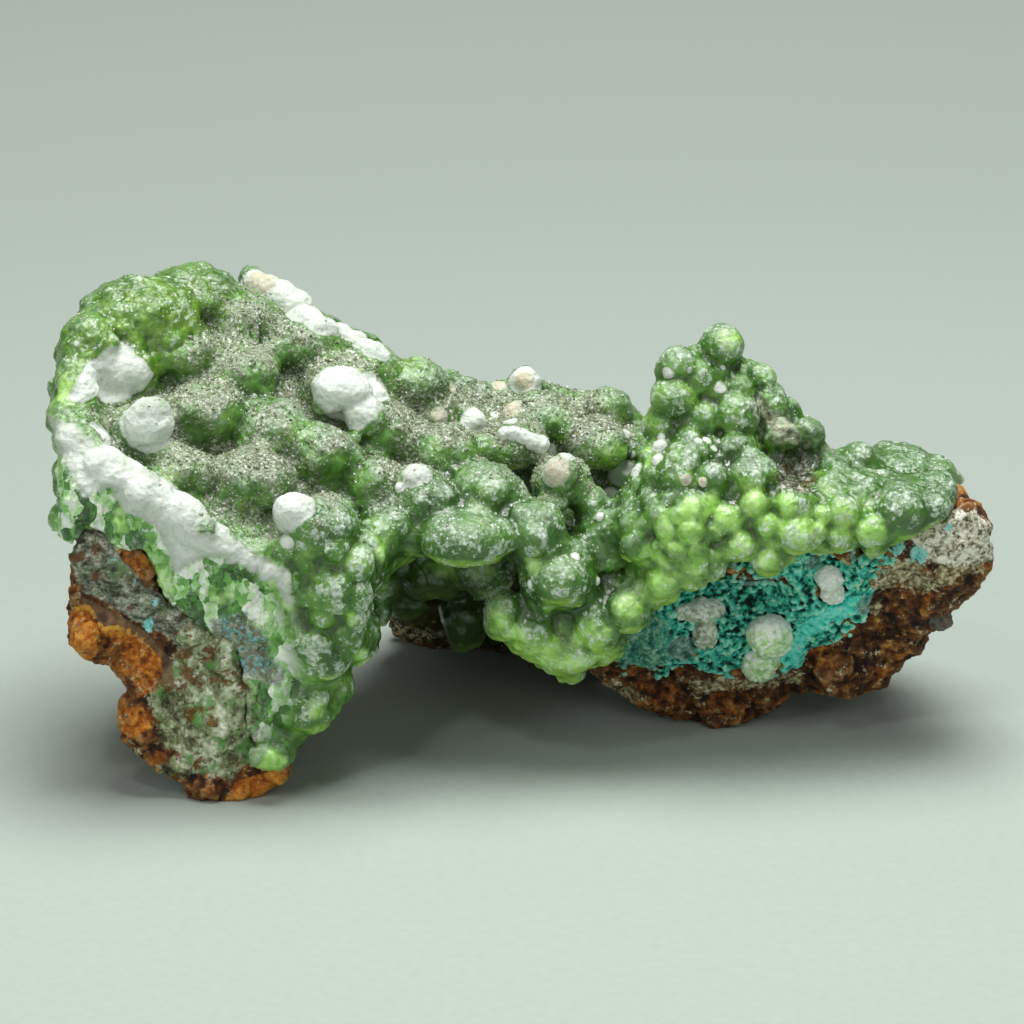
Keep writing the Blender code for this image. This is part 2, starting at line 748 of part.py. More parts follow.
def main():
    for obj in list(bpy.data.objects):
        bpy.data.objects.remove(obj)
    rock = limonite()
    crust = smithsonite()
    clear_of(crust, rock)
    stand(crust)
    material(crust, "#5a8a35", 0.35)
    pair = growth("pocket_ball_pair", ((25.0, 17.3, 2.4), (24.0, 14.2, 2.1)), (rock, crust), "#a9cfa0")
    cluster = growth(
        "pocket_cluster",
        ((15.9, 19.3, 1.1), (17.7, 19.0, 1.5), (19.2, 19.2, 1.4), (18.3, 17.0, 1.5)),
        (rock, crust),
        "#7f9a80",
    )
    bead = growth("pocket_white_ball", ((30.9, 22.6, 1.4), (31.0, 21.4, 1.4)), (rock, crust), "#d3dccf")
    lining = aurichalcite(rock, (rock, crust, pair, cluster, bead))
    nodes = (rock, crust, lining, pair, cluster, bead)
    corners = [vert.co for obj in nodes for vert in obj.data.vertices]
    low = Vector([min(corner[i] for corner in corners) for i in range(3)])
    high = Vector([max(corner[i] for corner in corners) for i in range(3)])
    shift = Vector((-(low.x + high.x) / 2, -(low.y + high.y) / 2, -low.z))
    for obj in nodes:
        obj.data.transform(Matrix.Translation(shift))
    return shift


if __name__ == "__main__":
    main()
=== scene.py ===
# %% [markdown]
# # A smithsonite specimen
#
# Smithsonite is zinc carbonate. Here it grew as a green crust of round heads over brown limonite, and in a pocket
# on the right a turquoise mineral, aurichalcite, lines the rock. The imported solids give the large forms, their
# places and their sizes. This script gives each of them the fine surface and the finish of the mineral.

import math
import time

import bpy
import numpy as np
from mathutils import Matrix, Vector
from mathutils.bvhtree import BVHTree


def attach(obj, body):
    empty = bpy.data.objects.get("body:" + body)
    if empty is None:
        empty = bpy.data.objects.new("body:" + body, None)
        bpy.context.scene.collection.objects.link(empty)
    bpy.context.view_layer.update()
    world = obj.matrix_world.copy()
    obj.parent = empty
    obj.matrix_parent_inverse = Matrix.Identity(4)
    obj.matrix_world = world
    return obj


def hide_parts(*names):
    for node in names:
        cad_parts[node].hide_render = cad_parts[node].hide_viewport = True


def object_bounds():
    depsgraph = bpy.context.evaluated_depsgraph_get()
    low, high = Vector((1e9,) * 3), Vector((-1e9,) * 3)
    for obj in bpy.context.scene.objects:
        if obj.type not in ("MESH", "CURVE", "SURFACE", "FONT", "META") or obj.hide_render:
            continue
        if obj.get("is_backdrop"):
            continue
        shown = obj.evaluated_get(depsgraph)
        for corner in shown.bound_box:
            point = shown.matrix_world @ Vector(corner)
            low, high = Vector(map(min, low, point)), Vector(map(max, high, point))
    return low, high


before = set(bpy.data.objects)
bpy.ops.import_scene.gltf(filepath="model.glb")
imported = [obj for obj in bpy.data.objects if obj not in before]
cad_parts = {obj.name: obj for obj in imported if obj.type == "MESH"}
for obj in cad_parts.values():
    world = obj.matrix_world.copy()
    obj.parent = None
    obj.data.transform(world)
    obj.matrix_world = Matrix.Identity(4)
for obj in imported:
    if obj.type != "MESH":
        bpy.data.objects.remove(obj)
cad_box = [list(corner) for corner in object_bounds()]
MM = 0.001
started = time.time()
print("solids:", sorted(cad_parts), "box in mm:", [[round(v / MM, 1) for v in corner] for corner in cad_box])

# %% [markdown]
# ## Where things are
#
# The specimen is described as a viewer sees it who looks down at it by 22 degrees: `across` is to the right, `up`
# is up in the view, both in millimetres from one spot, and `back` is the depth. Three functions change between
# that and the solid's own coordinates, so that every lump and every patch of colour can be placed in the view.

# %% Change between the viewer's directions and the solid's coordinates
VIEW_TILT = math.radians(22)
SHIFT = Vector((-0.067, -22.978, -0.1)) * MM  # from the viewer's zero to the solid's
TOWARD_VIEWER = Vector((0, -math.cos(VIEW_TILT), math.sin(VIEW_TILT)))


def seen(across, up, back=0.0):
    """The point of the solid at (across, up) in the view, at the depth back, in metres."""
    height = (up - back * math.sin(VIEW_TILT)) / math.cos(VIEW_TILT)
    return Vector((across, back, height)) * MM + SHIFT


def as_seen(points):
    """For an array of points in metres: across, up and nearness to the viewer, in mm."""
    local = (points - np.array(SHIFT)) / MM
    across = local[:, 0]
    up = local[:, 2] * math.cos(VIEW_TILT) + local[:, 1] * math.sin(VIEW_TILT)
    near = local[:, 2] * math.sin(VIEW_TILT) - local[:, 1] * math.cos(VIEW_TILT)
    return across, up, near


print("the viewer's zero is at", [round(v / MM, 1) for v in seen(0, 0)], "mm")

# %% [markdown]
# ## The camera, the floor and the light
#
# Mineral specimens are photographed with a long lens from a little above, on a seamless pale sheet, under a
# large soft lamp. The lamp hangs over the specimen, so the gap under the arch is dark and its shadow has no edge.
# A long lens at one metre keeps the near and the far foot at nearly the same scale.

# %% Set up the camera
VIEW_WIDTH = 0.1024  # metres across the picture at the specimen
CAMERA_DISTANCE = 1.0
scene = bpy.context.scene
aim = seen(-1.1, 29.1, 15.0)
bpy.ops.object.camera_add(location=aim + TOWARD_VIEWER * CAMERA_DISTANCE, rotation=(math.pi / 2 - VIEW_TILT, 0, 0))
camera = bpy.context.object
camera.data.sensor_width = 36.0
camera.data.lens = camera.data.sensor_width * CAMERA_DISTANCE / VIEW_WIDTH
camera.data.clip_end = 20.0
scene.camera = camera
print("lens", round(camera.data.lens), "mm")


# %% Helpers for colours and shader nodes
def linear(hex_colour):
    """An sRGB hex colour as the linear red, green, blue and alpha that shaders use."""
    channels = [int(hex_colour[i : i + 2], 16) / 255 for i in (1, 3, 5)]
    return (*[c / 12.92 if c <= 0.04045 else ((c + 0.055) / 1.055) ** 2.4 for c in channels], 1.0)


def node(tree, kind, settings=(), **inputs):
    """Adds a node, gives it settings, then sets or links its inputs. An input's name has _ for a space, or is iN."""
    made = tree.nodes.new(kind)
    for name, value in dict(settings).items():
        setattr(made, name, value)
    for name, value in inputs.items():
        by_number = name[0] == "i" and name[1:].isdigit()
        socket = made.inputs[int(name[1:]) if by_number else name.replace("_", " ")]
        if isinstance(value, bpy.types.NodeSocket):
            tree.links.new(value, socket)
        else:
            socket.default_value = value
    return made


def new_material(name):
    """A material with an empty Principled BSDF: returns the material, its tree and the shader."""
    made = bpy.data.materials.new(name)
    made.use_nodes = True
    return made, made.node_tree, made.node_tree.nodes["Principled BSDF"]


# %% Lay the sheet that the specimen stands on
bpy.ops.mesh.primitive_plane_add(size=6.0, location=(0, 0, 0))
floor = bpy.context.object
floor.name = "sheet"
paper, tree, shader = new_material("pale_grey_green_card")
fibre = node(tree, "ShaderNodeTexNoise", Scale=900.0, Detail=4.0, Vector=node(tree, "ShaderNodeTexCoord").outputs["Object"])
shade = node(tree, "ShaderNodeMix", {"data_type": "RGBA"}, i0=fibre.outputs["Fac"], i6=linear("#a2ada3"), i7=linear("#acb7ae"))
# Painted shade: the sheet's colour darkens towards the back, standing in for the lamp's light falling off there.
back = node(tree, "ShaderNodeSeparateXYZ", Vector=node(tree, "ShaderNodeTexCoord").outputs["Object"]).outputs["Y"]
painted_falloff_shade = node(tree, "ShaderNodeMapRange", Value=back, From_Min=-0.06, From_Max=0.16, To_Min=0.0, To_Max=1.0)
shade = node(tree, "ShaderNodeMix", {"data_type": "RGBA"}, i0=painted_falloff_shade.outputs["Result"], i6=shade.outputs[2], i7=linear("#98a29a"))
tree.links.new(shade.outputs[2], shader.inputs["Base Color"])
shader.inputs["Roughness"].default_value = 0.9
shader.inputs["Specular IOR Level"].default_value = 0.1
floor.data.materials.append(paper)
floor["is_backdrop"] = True
print("floor laid")


# %% Hang the lamps
def lamp(name, size, power, place, colour="#ffffff"):
    """A square soft lamp at a place in metres, turned to the specimen."""
    bpy.ops.object.light_add(type="AREA", location=place)
    made = bpy.context.object
    made.name = name
    made.data.size = size
    made.data.energy = power
    made.data.color = linear(colour)[:3]
    made.rotation_euler = (Vector((0, 0, 0.02)) - Vector(place)).to_track_quat("-Z", "Y").to_euler()
    return made


lamp("overhead_softbox", 0.34, 4.1, (0.03, 0.05, 0.52))
lamp("window_side", 0.30, 1.3, (-0.55, -0.45, 0.40))
lamp("front_fill", 0.60, 1.95, (0.35, -0.85, 0.45))
lamp("small_lamp", 0.045, 0.32, (-0.14, -0.34, 0.56))  # gives the glassy heads and the crystals their points of light
sky = bpy.data.worlds.new("room")
scene.world = sky
sky.use_nodes = True
sky.node_tree.nodes["Background"].inputs["Color"].default_value = linear("#dfe6e0")
sky.node_tree.nodes["Background"].inputs["Strength"].default_value = 0.11
scene.view_settings.view_transform = "Standard"
print("lamps hung")

# %% [markdown]
# ## Tools of the work
#
# A crust like this is not one smooth shape: hundreds of round heads grew until they touched. In Blender that is
# made by adding many balls to the solid's form and fusing all of it with a Remesh modifier, which takes a small
# voxel and returns one closed skin. A ball is modelled once, and its points are copied to every place.


# %% Copy points and faces between meshes and arrays
def points_of(obj):
    """The places of an object's vertices as an array."""
    flat = np.empty(len(obj.data.vertices) * 3, np.float32)
    obj.data.vertices.foreach_get("co", flat)
    return flat.reshape(-1, 3).astype(float)


def normals_of(obj):
    flat = np.empty(len(obj.data.vertices) * 3, np.float32)
    obj.data.vertices.foreach_get("normal", flat)
    return flat.reshape(-1, 3).astype(float)


def triangles_of(obj):
    """The corners of an object's triangles as an array of vertex numbers."""
    obj.data.calc_loop_triangles()
    flat = np.empty(len(obj.data.loop_triangles) * 3, np.int32)
    obj.data.loop_triangles.foreach_get("vertices", flat)
    return flat.reshape(-1, 3)


def object_from(name, points, faces):
    """A new object from arrays of points and of triangles."""
    mesh = bpy.data.meshes.new(name)
    mesh.vertices.add(len(points))
    mesh.vertices.foreach_set("co", np.asarray(points, np.float32).ravel())
    mesh.loops.add(faces.size)
    mesh.loops.foreach_set("vertex_index", np.asarray(faces, np.int32).ravel())
    mesh.polygons.add(len(faces))
    mesh.polygons.foreach_set("loop_start", np.arange(0, faces.size, 3, dtype=np.int32))
    mesh.update(calc_edges=True)
    made = bpy.data.objects.new(name, mesh)
    scene.collection.objects.link(made)
    return made


def alone(obj):
    """Makes one object the only selected and the active one."""
    for other in bpy.context.selected_objects:
        other.select_set(False)
    obj.select_set(True)
    bpy.context.view_layer.objects.active = obj


# %% Take a copy of a solid and change it with modifiers
def copy_of(cad_node, name):
    """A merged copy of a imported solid, as a new object with no material."""
    made = bpy.data.objects.new(name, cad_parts[cad_node].data.copy())
    scene.collection.objects.link(made)
    made.data.materials.clear()
    alone(made)
    bpy.ops.object.mode_set(mode="EDIT")
    bpy.ops.mesh.select_all(action="SELECT")
    bpy.ops.mesh.remove_doubles(threshold=1e-6)
    bpy.ops.object.mode_set(mode="OBJECT")
    return made


def modified(obj, kind, **settings):
    """Adds a modifier with its settings and applies it."""
    alone(obj)
    modifier = obj.modifiers.new(kind.lower(), kind)
    for name, value in settings.items():
        setattr(modifier, name, value)
    bpy.ops.object.modifier_apply(modifier=modifier.name)


def roughened(obj, texture_kind, cell, height, group="", middle=0.5, **settings):
    """Moves the surface in and out by a texture with cells of `cell` mm, by `height` mm in all."""
    texture = bpy.data.textures.new(f"{obj.name}_{texture_kind}", texture_kind)
    texture.noise_scale = cell * MM
    for name, value in settings.items():
        setattr(texture, name, value)
    modified(
        obj,
        "DISPLACE",
        texture=texture,
        texture_coords="LOCAL",
        strength=height * MM,
        mid_level=middle,
        vertex_group=group,
    )


def only_largest(obj):
    """Keeps the largest of the bodies in an object, which drops the bubbles inside a fused one."""
    alone(obj)
    bpy.ops.object.mode_set(mode="EDIT")
    bpy.ops.mesh.select_all(action="SELECT")
    bpy.ops.mesh.separate(type="LOOSE")
    bpy.ops.object.mode_set(mode="OBJECT")
    bodies = sorted(bpy.context.selected_objects, key=lambda body: len(body.data.vertices))
    name = obj.name
    for body in bodies[:-1]:
        bpy.data.objects.remove(body)
    bodies[-1].name = name
    alone(bodies[-1])
    return bodies[-1]


def fused(objects, voxel, smooth=2):
    """Joins objects and fuses them into one closed skin with faces of `voxel` mm."""
    alone(objects[0])
    for obj in objects[1:]:
        obj.select_set(True)
    if len(objects) > 1:
        bpy.ops.object.join()
    made = objects[0]
    modified(made, "REMESH", mode="VOXEL", voxel_size=voxel * MM)
    made = only_largest(made)
    modified(made, "SMOOTH", factor=0.5, iterations=smooth)
    return made


# %% Model one ball and copy it to many places
bpy.ops.mesh.primitive_ico_sphere_add(subdivisions=3, radius=1.0)
ball = bpy.context.object
BALL_POINTS, BALL_FACES = points_of(ball), triangles_of(ball)
bpy.data.objects.remove(ball)


def copies(name, centres, sizes, turns=None, points=BALL_POINTS, faces=BALL_FACES):
    """One object with a copy of the points at each centre, sized by three radii and turned by a matrix. All in metres."""
    count = len(centres)
    sized = points[None, :, :] * np.asarray(sizes)[:, None, :]
    if turns is not None:
        sized = np.einsum("nij,nkj->nki", turns, sized)
    placed = sized + np.asarray(centres)[:, None, :]
    numbered = faces[None, :, :] + (np.arange(count) * len(points))[:, None, None]
    return object_from(name, placed.reshape(-1, 3), numbered.reshape(-1, 3))


def turned_to(normals, rng):
    """Matrices that turn +Z to each normal, with a random spin."""
    z = normals / np.linalg.norm(normals, axis=1, keepdims=True)
    helper = rng.normal(size=z.shape)
    x = np.cross(helper, z)
    x /= np.linalg.norm(x, axis=1, keepdims=True)
    return np.stack([x, np.cross(z, x), z], axis=2)


print("ball has", len(BALL_POINTS), "points")


# %% Find what is seen at a place
def tree_of(*objects):
    """The surfaces of several objects as one tree for looking at."""
    points, faces, count = [], [], 0
    for obj in objects:
        points.append(points_of(obj))
        faces.append(triangles_of(obj) + count)
        count += len(points[-1])
    return BVHTree.FromPolygons(np.concatenate(points).tolist(), np.concatenate(faces).tolist())


LOOK_FROM = 60.0  # mm in front of the specimen


def met(tree, across, up):
    """Where a look at (across, up) first meets the surface, and its normal there."""
    start = seen(across, up) + TOWARD_VIEWER * LOOK_FROM * MM
    spot, normal, _, _ = tree.ray_cast(start, -TOWARD_VIEWER)
    return spot, normal


def studs(name, tree, places):
    """Balls on the surface as seen. A place is (across, up, radius or three radii, how far the ball stands proud)."""
    centres, sizes, normals = [], [], []
    for across, up, radii, proud in places:
        spot, normal = met(tree, across, up)
        if spot is None:
            continue
        radii = np.array(radii if isinstance(radii, tuple) else (radii,) * 3) * MM
        centres.append(np.array(spot) - np.array(normal) * (radii.min() - proud * MM))
        sizes.append(radii)
        normals.append(np.array(normal))
    return copies(name, centres, sizes), np.array(centres), np.array(sizes)


def scattered(points, faces, count, rng):
    """Random places spread evenly over a surface, with its normals there."""
    a, b, c = (points[faces[:, i]] for i in range(3))
    cross = np.cross(b - a, c - a)
    area = np.linalg.norm(cross, axis=1)
    picks = rng.choice(len(faces), size=count, p=area / area.sum())
    u, v = rng.random(count), rng.random(count)
    over = u + v > 1
    u[over], v[over] = 1 - u[over], 1 - v[over]
    spots = a[picks] + (b - a)[picks] * u[:, None] + (c - a)[picks] * v[:, None]
    return spots, cross[picks] / area[picks][:, None]


def spaced(spots, apart):
    """The numbers of those spots that keep their own distance `apart` (metres) from all taken before them."""
    cell = float(np.max(apart))
    taken, kept = {}, []
    for i, spot in enumerate(spots):
        key = tuple((spot // cell).astype(int))
        near = (
            j
            for dx in (-1, 0, 1)
            for dy in (-1, 0, 1)
            for dz in (-1, 0, 1)
            for j in taken.get((key[0] + dx, key[1] + dy, key[2] + dz), ())
        )
        if all(np.sum((spots[j] - spot) ** 2) > apart[i] ** 2 for j in near):
            taken.setdefault(key, []).append(i)
            kept.append(i)
    return np.array(kept)


# %% [markdown]
# ## Painting by place
#
# The green of the crust changes from patch to patch, and white nodules, sparkling dust and broken faces have their
# own colours. Each kind of patch becomes a number on every vertex, an attribute, which the material reads. Round
# patches are measured in three dimensions from the middle of their lump, so they fit it from all sides. Flat ones
# are outlines in the view, and count only for what the viewer can see.


# %% Paint attributes on a piece
def outlined(across, up, outline):
    """How far each point is inside an outline, in mm, and below 0 outside."""
    inside = np.zeros(len(across), bool)
    nearest = np.full(len(across), 1e9)
    for (a, b), (c, d) in zip(outline, outline[1:] + outline[:1]):
        crosses = (b > up) != (d > up)
        slope = (c - a) / (d - b) if d != b else 0.0
        inside ^= crosses & (across < a + (up - b) * slope)
        length = (c - a) ** 2 + (d - b) ** 2
        along = np.clip(((across - a) * (c - a) + (up - b) * (d - b)) / length, 0, 1)
        nearest = np.minimum(nearest, np.hypot(across - a - along * (c - a), up - b - along * (d - b)))
    return np.where(inside, nearest, -nearest)


def eased(value):
    """0 below 0, 1 above 1, and a smooth step between."""
    value = np.clip(value, 0, 1)
    return value * value * (3 - 2 * value)


class Paint:
    """Paints one piece: what is in sight, and numbers for each kind of patch."""

    def __init__(self, piece, depth=1.2):
        self.piece = piece
        self.points = points_of(piece)
        self.normals = normals_of(piece)
        self.across, self.up, near = as_seen(self.points)
        tree = tree_of(piece)
        self.tree = tree
        first = np.empty(len(self.points))
        for i, (across, up) in enumerate(zip(self.across, self.up)):
            start = seen(across, up) + TOWARD_VIEWER * LOOK_FROM * MM
            distance = tree.ray_cast(start, -TOWARD_VIEWER)[3]
            first[i] = LOOK_FROM - (distance / MM if distance is not None else 0.0)
        start_near = as_seen(np.array([seen(0, 0)]))[2][0]
        self.seen = first + start_near - near < depth

    def round_spots(self, places, soft=0.25):
        """1 in balls (centre in metres, radius in metres), fading over the share `soft` of the radius."""
        found = np.zeros(len(self.points))
        for centre, radius in places:
            distance = np.linalg.norm(self.points - centre, axis=1) / radius
            found = np.maximum(found, eased((1 + soft - distance) / (2 * soft)))
        return found

    def seen_spots(self, places, soft=0.4):
        """The same for places (across, up, radius) in mm that are looked for on the surface."""
        balls = []
        for across, up, radius in places:
            spot, _ = met(self.tree, across, up)
            if spot is not None:
                balls.append((np.array(spot), radius * MM))
        return self.round_spots(balls, soft)

    def patch(self, outline, soft=0.5):
        """1 inside an outline in the view, where it is in sight, fading over `soft` mm at its edge."""
        return eased(outlined(self.across, self.up, outline) / soft * 0.5 + 0.5) * self.seen

    def keep(self, **attributes):
        for name, values in attributes.items():
            made = self.piece.data.attributes.new(name, "FLOAT", "POINT")
            made.data.foreach_set("value", np.clip(values, 0, 1).astype(np.float32))


def evened(obj, values, rounds):
    """Averages numbers on the vertices with those of their neighbours, for some rounds."""
    edges = np.empty(len(obj.data.edges) * 2, np.int32)
    obj.data.edges.foreach_get("vertices", edges)
    a, b = edges[0::2], edges[1::2]
    count = len(obj.data.vertices)
    degree = np.bincount(a, minlength=count) + np.bincount(b, minlength=count)
    values = values.astype(float)
    for _ in range(rounds):
        total = np.bincount(a, values[b], count) + np.bincount(b, values[a], count)
        values = 0.5 * values + 0.5 * total / np.maximum(degree, 1)
    return values


def relief_of(obj, normals, rounds=14, full=0.35):
    """How far each vertex stands above (over 0.5) or below (under 0.5) the surface around it; full in mm."""
    points = points_of(obj)
    around = np.stack([evened(obj, points[:, i], rounds) for i in range(3)], axis=1)
    height = ((points - around) * normals).sum(1) / MM
    return np.clip(0.5 + 0.5 * height / full, 0, 1)


# %% [markdown]
# ## The green crust: its form
#
# The imported solid holds the slab of crust with its larger lumps. The lumps that one sees singly, such as the balls
# of the tower, are placed one by one, and smaller heads are scattered over the rest. All of it is fused once, so the
# heads grow out of each other as the real ones do, and only then cut in pieces.

# %% Place the heads that are seen singly
TOWER = (  # across, up, radius or three radii, how far it stands proud
    (19.7, 45.7, 2.3, 0.5), (15.2, 44.4, 2.2, 0.5), (15.1, 40.1, 2.6, 0.9), (17.9, 42.6, 2.3, 0.6),
    (22.2, 41.9, 2.1, 0.6), (21.6, 39.2, 2.5, 1.1), (18.2, 38.6, 2.4, 0.8), (13.9, 37.7, 1.9, 0.6),
    (21.1, 35.4, 2.2, 0.8), (23.2, 37.4, 1.2, 0.4), (25.0, 38.6, 1.3, 0.3), (17.1, 45.2, 1.3, 0.3),
    (23.4, 44.0, 1.2, 0.3), (19.6, 43.1, 1.3, 0.5), (16.3, 36.9, 1.5, 0.5), (18.2, 35.2, 1.8, 0.6),
    (13.6, 35.3, 1.2, 0.4), (15.6, 32.8, 1.9, 0.7), (22.7, 32.4, 1.9, 0.7), (25.0, 32.0, 1.6, 0.5),
    (19.0, 32.4, 1.7, 0.7), (26.6, 37.0, 0.9, 0.3), (28.2, 35.6, 0.8, 0.3),
)
CURTAIN = (
    (15.5, 26.4, (2.6, 2.4, 2.6), 0.2), (14.0, 27.4, 1.4, 0.9), (16.6, 27.2, 1.5, 1.0), (15.1, 25.2, 1.5, 0.9),
    (17.2, 25.2, 1.2, 0.8), (13.4, 25.6, 1.2, 0.7), (15.4, 28.8, 1.1, 0.7), (19.0, 27.0, 1.2, 0.8), (16.9, 29.6, 1.9, 0.9), (13.2, 28.9, 1.8, 0.8), (20.3, 28.4, 1.7, 1.0),
    (23.0, 30.2, 1.5, 0.8), (21.6, 25.8, 1.5, 0.9), (24.4, 24.3, 1.7, 0.9), (27.1, 26.9, 2.3, 1.2),
    (31.9, 29.3, 1.8, 1.1), (34.6, 27.0, 2.0, 1.2), (31.5, 26.5, 1.4, 0.9), (29.6, 28.8, 1.3, 0.8),
    (25.6, 30.2, 1.5, 0.7), (24.2, 27.8, 1.4, 0.8), (13.8, 22.0, 1.9, 1.0), (10.4, 19.6, 2.4, 0.9),
    (8.2, 16.4, 2.0, 0.9), (11.1, 23.3, 1.8, 0.7), (9.4, 22.3, 2.2, 0.6), (11.8, 21.6, 2.0, 0.6), (5.5, 14.2, (3.2, 2.8, 2.2), 0.4), (17.0, 21.6, 1.5, 0.4),
    (20.4, 22.6, 1.1, 0.4), (28.6, 30.6, 1.5, 0.5), (33.6, 31.0, 1.6, 0.5), (17.4, 25.2, 1.6, 0.5),
    (13.0, 25.4, 2.0, 0.4), (19.0, 24.8, 1.4, 0.5), (23.2, 22.6, 1.0, 0.4), (26.6, 23.6, 1.1, 0.4),
)
RIGHT_LUMP = (
    (33.6, 35.4, (1.6, 2.0, 1.8), 0.4), (38.0, 34.0, (4.6, 4.0, 3.0), 0.3), (41.9, 32.6, (2.4, 2.4, 2.2), 0.4),
    (38.0, 30.2, (2.9, 2.8, 2.4), 0.5), (33.8, 30.9, 1.9, 0.4), (38.2, 27.4, (2.0, 1.8, 1.6), 0.4),
    (36.0, 33.0, 1.6, 0.3), (41.0, 29.6, 1.7, 0.3), (36.4, 36.0, 1.4, 0.3), (39.8, 36.0, 1.5, 0.3),
)
BRIDGE = (
    (-5.6, 26.7, (4.6, 3.4, 2.7), 0.4), (-8.3, 28.1, (2.2, 2.0, 1.8), 0.4), (-2.0, 27.6, (2.4, 2.2, 2.0), 0.5),
    (-14.0, 27.2, (2.3, 2.4, 2.3), 0.4), (-12.2, 28.6, (1.7, 1.7, 1.6), 0.3), (-3.2, 31.5, (2.2, 2.0, 1.6), 0.2),
    (-7.6, 31.2, (2.0, 1.9, 1.6), 0.2), (-0.2, 29.4, (1.8, 1.8, 1.6), 0.3), (1.4, 26.4, (2.2, 2.4, 2.2), 0.3),
    (3.6, 22.6, (3.2, 3.4, 2.8), 0.3), (-1.6, 19.0, (1.7, 2.2, 2.0), 0.4), (1.2, 17.4, (2.2, 2.4, 2.2), 0.4),
    (7.0, 18.4, (2.4, 2.6, 2.4), 0.4), (4.0, 18.0, (2.2, 2.4, 2.2), 0.4), (3.4, 30.4, (1.6, 1.4, 1.2), 0.2),
    (-10.8, 22.0, (2.2, 2.4, 2.2), 0.3), (-5.8, 18.6, (2.0, 2.0, 2.0), 0.3), (3.4, 42.2, (2.0, 1.8, 1.6), 0.2),
    (-6.0, 25.0, (1.6, 1.4, 1.4), 0.4), (-3.6, 24.6, (1.4, 1.3, 1.3), 0.4), (0.0, 24.6, (1.5, 1.5, 1.5), 0.3),
    (5.6, 20.2, 1.2, 0.4), (2.4, 19.6, 1.2, 0.4), (3.0, 15.4, 1.5, 0.4), (7.4, 14.8, 1.3, 0.4),
)
LEG = (
    (-15.9, 24.9, (1.8, 2.2, 2.0), 0.5), (-18.4, 25.2, (1.7, 2.0, 1.6), 0.4), (-18.7, 21.7, (2.2, 1.9, 2.0), 0.6),
    (-15.9, 20.6, (1.5, 1.7, 1.9), 0.6), (-19.8, 18.3, (1.7, 1.9, 1.6), 0.5), (-17.4, 16.9, (1.9, 1.8, 2.2), 0.8),
    (-19.0, 13.4, (1.7, 1.8, 1.8), 0.6), (-20.2, 10.8, (1.4, 1.5, 1.4), 0.5), (-21.4, 27.6, (2.0, 1.8, 1.6), 0.3),
    (-18.2, 28.6, (2.2, 2.0, 1.8), 0.3), (-45.9, 28.0, (1.2, 1.4, 1.8), 0.3), (-46.2, 32.0, (1.1, 1.2, 1.5), 0.3),
    (-15.4, 30.0, (1.9, 1.8, 1.6), 0.3), (-21.6, 31.6, (1.6, 1.5, 1.4), 0.2), (-45.0, 24.6, (1.0, 1.1, 1.5), 0.2),
    (-21.4, 23.6, 1.3, 0.3), (-16.0, 14.8, 1.0, 0.4), (-18.4, 19.6, 1.2, 0.5), (-20.6, 14.4, 1.1, 0.4),
)
LOBE = (
    (-38.5, 52.2, (1.5, 1.6, 1.5), 0.4), (-34.2, 53.0, (2.0, 1.8, 1.4), 0.3), (-43.6, 48.6, (1.6, 1.7, 1.5), 0.3),
    (-40.8, 49.4, (1.9, 1.8, 1.5), 0.3), (-36.6, 49.6, (1.8, 1.7, 1.4), 0.3), (-45.6, 44.6, (1.3, 1.6, 1.4), 0.3),
    (-35.0, 46.2, (1.6, 1.5, 1.3), 0.3), (-31.6, 50.2, (1.6, 1.5, 1.2), 0.3), (-40.8, 46.0, (1.6, 1.5, 1.2), 0.2),
)
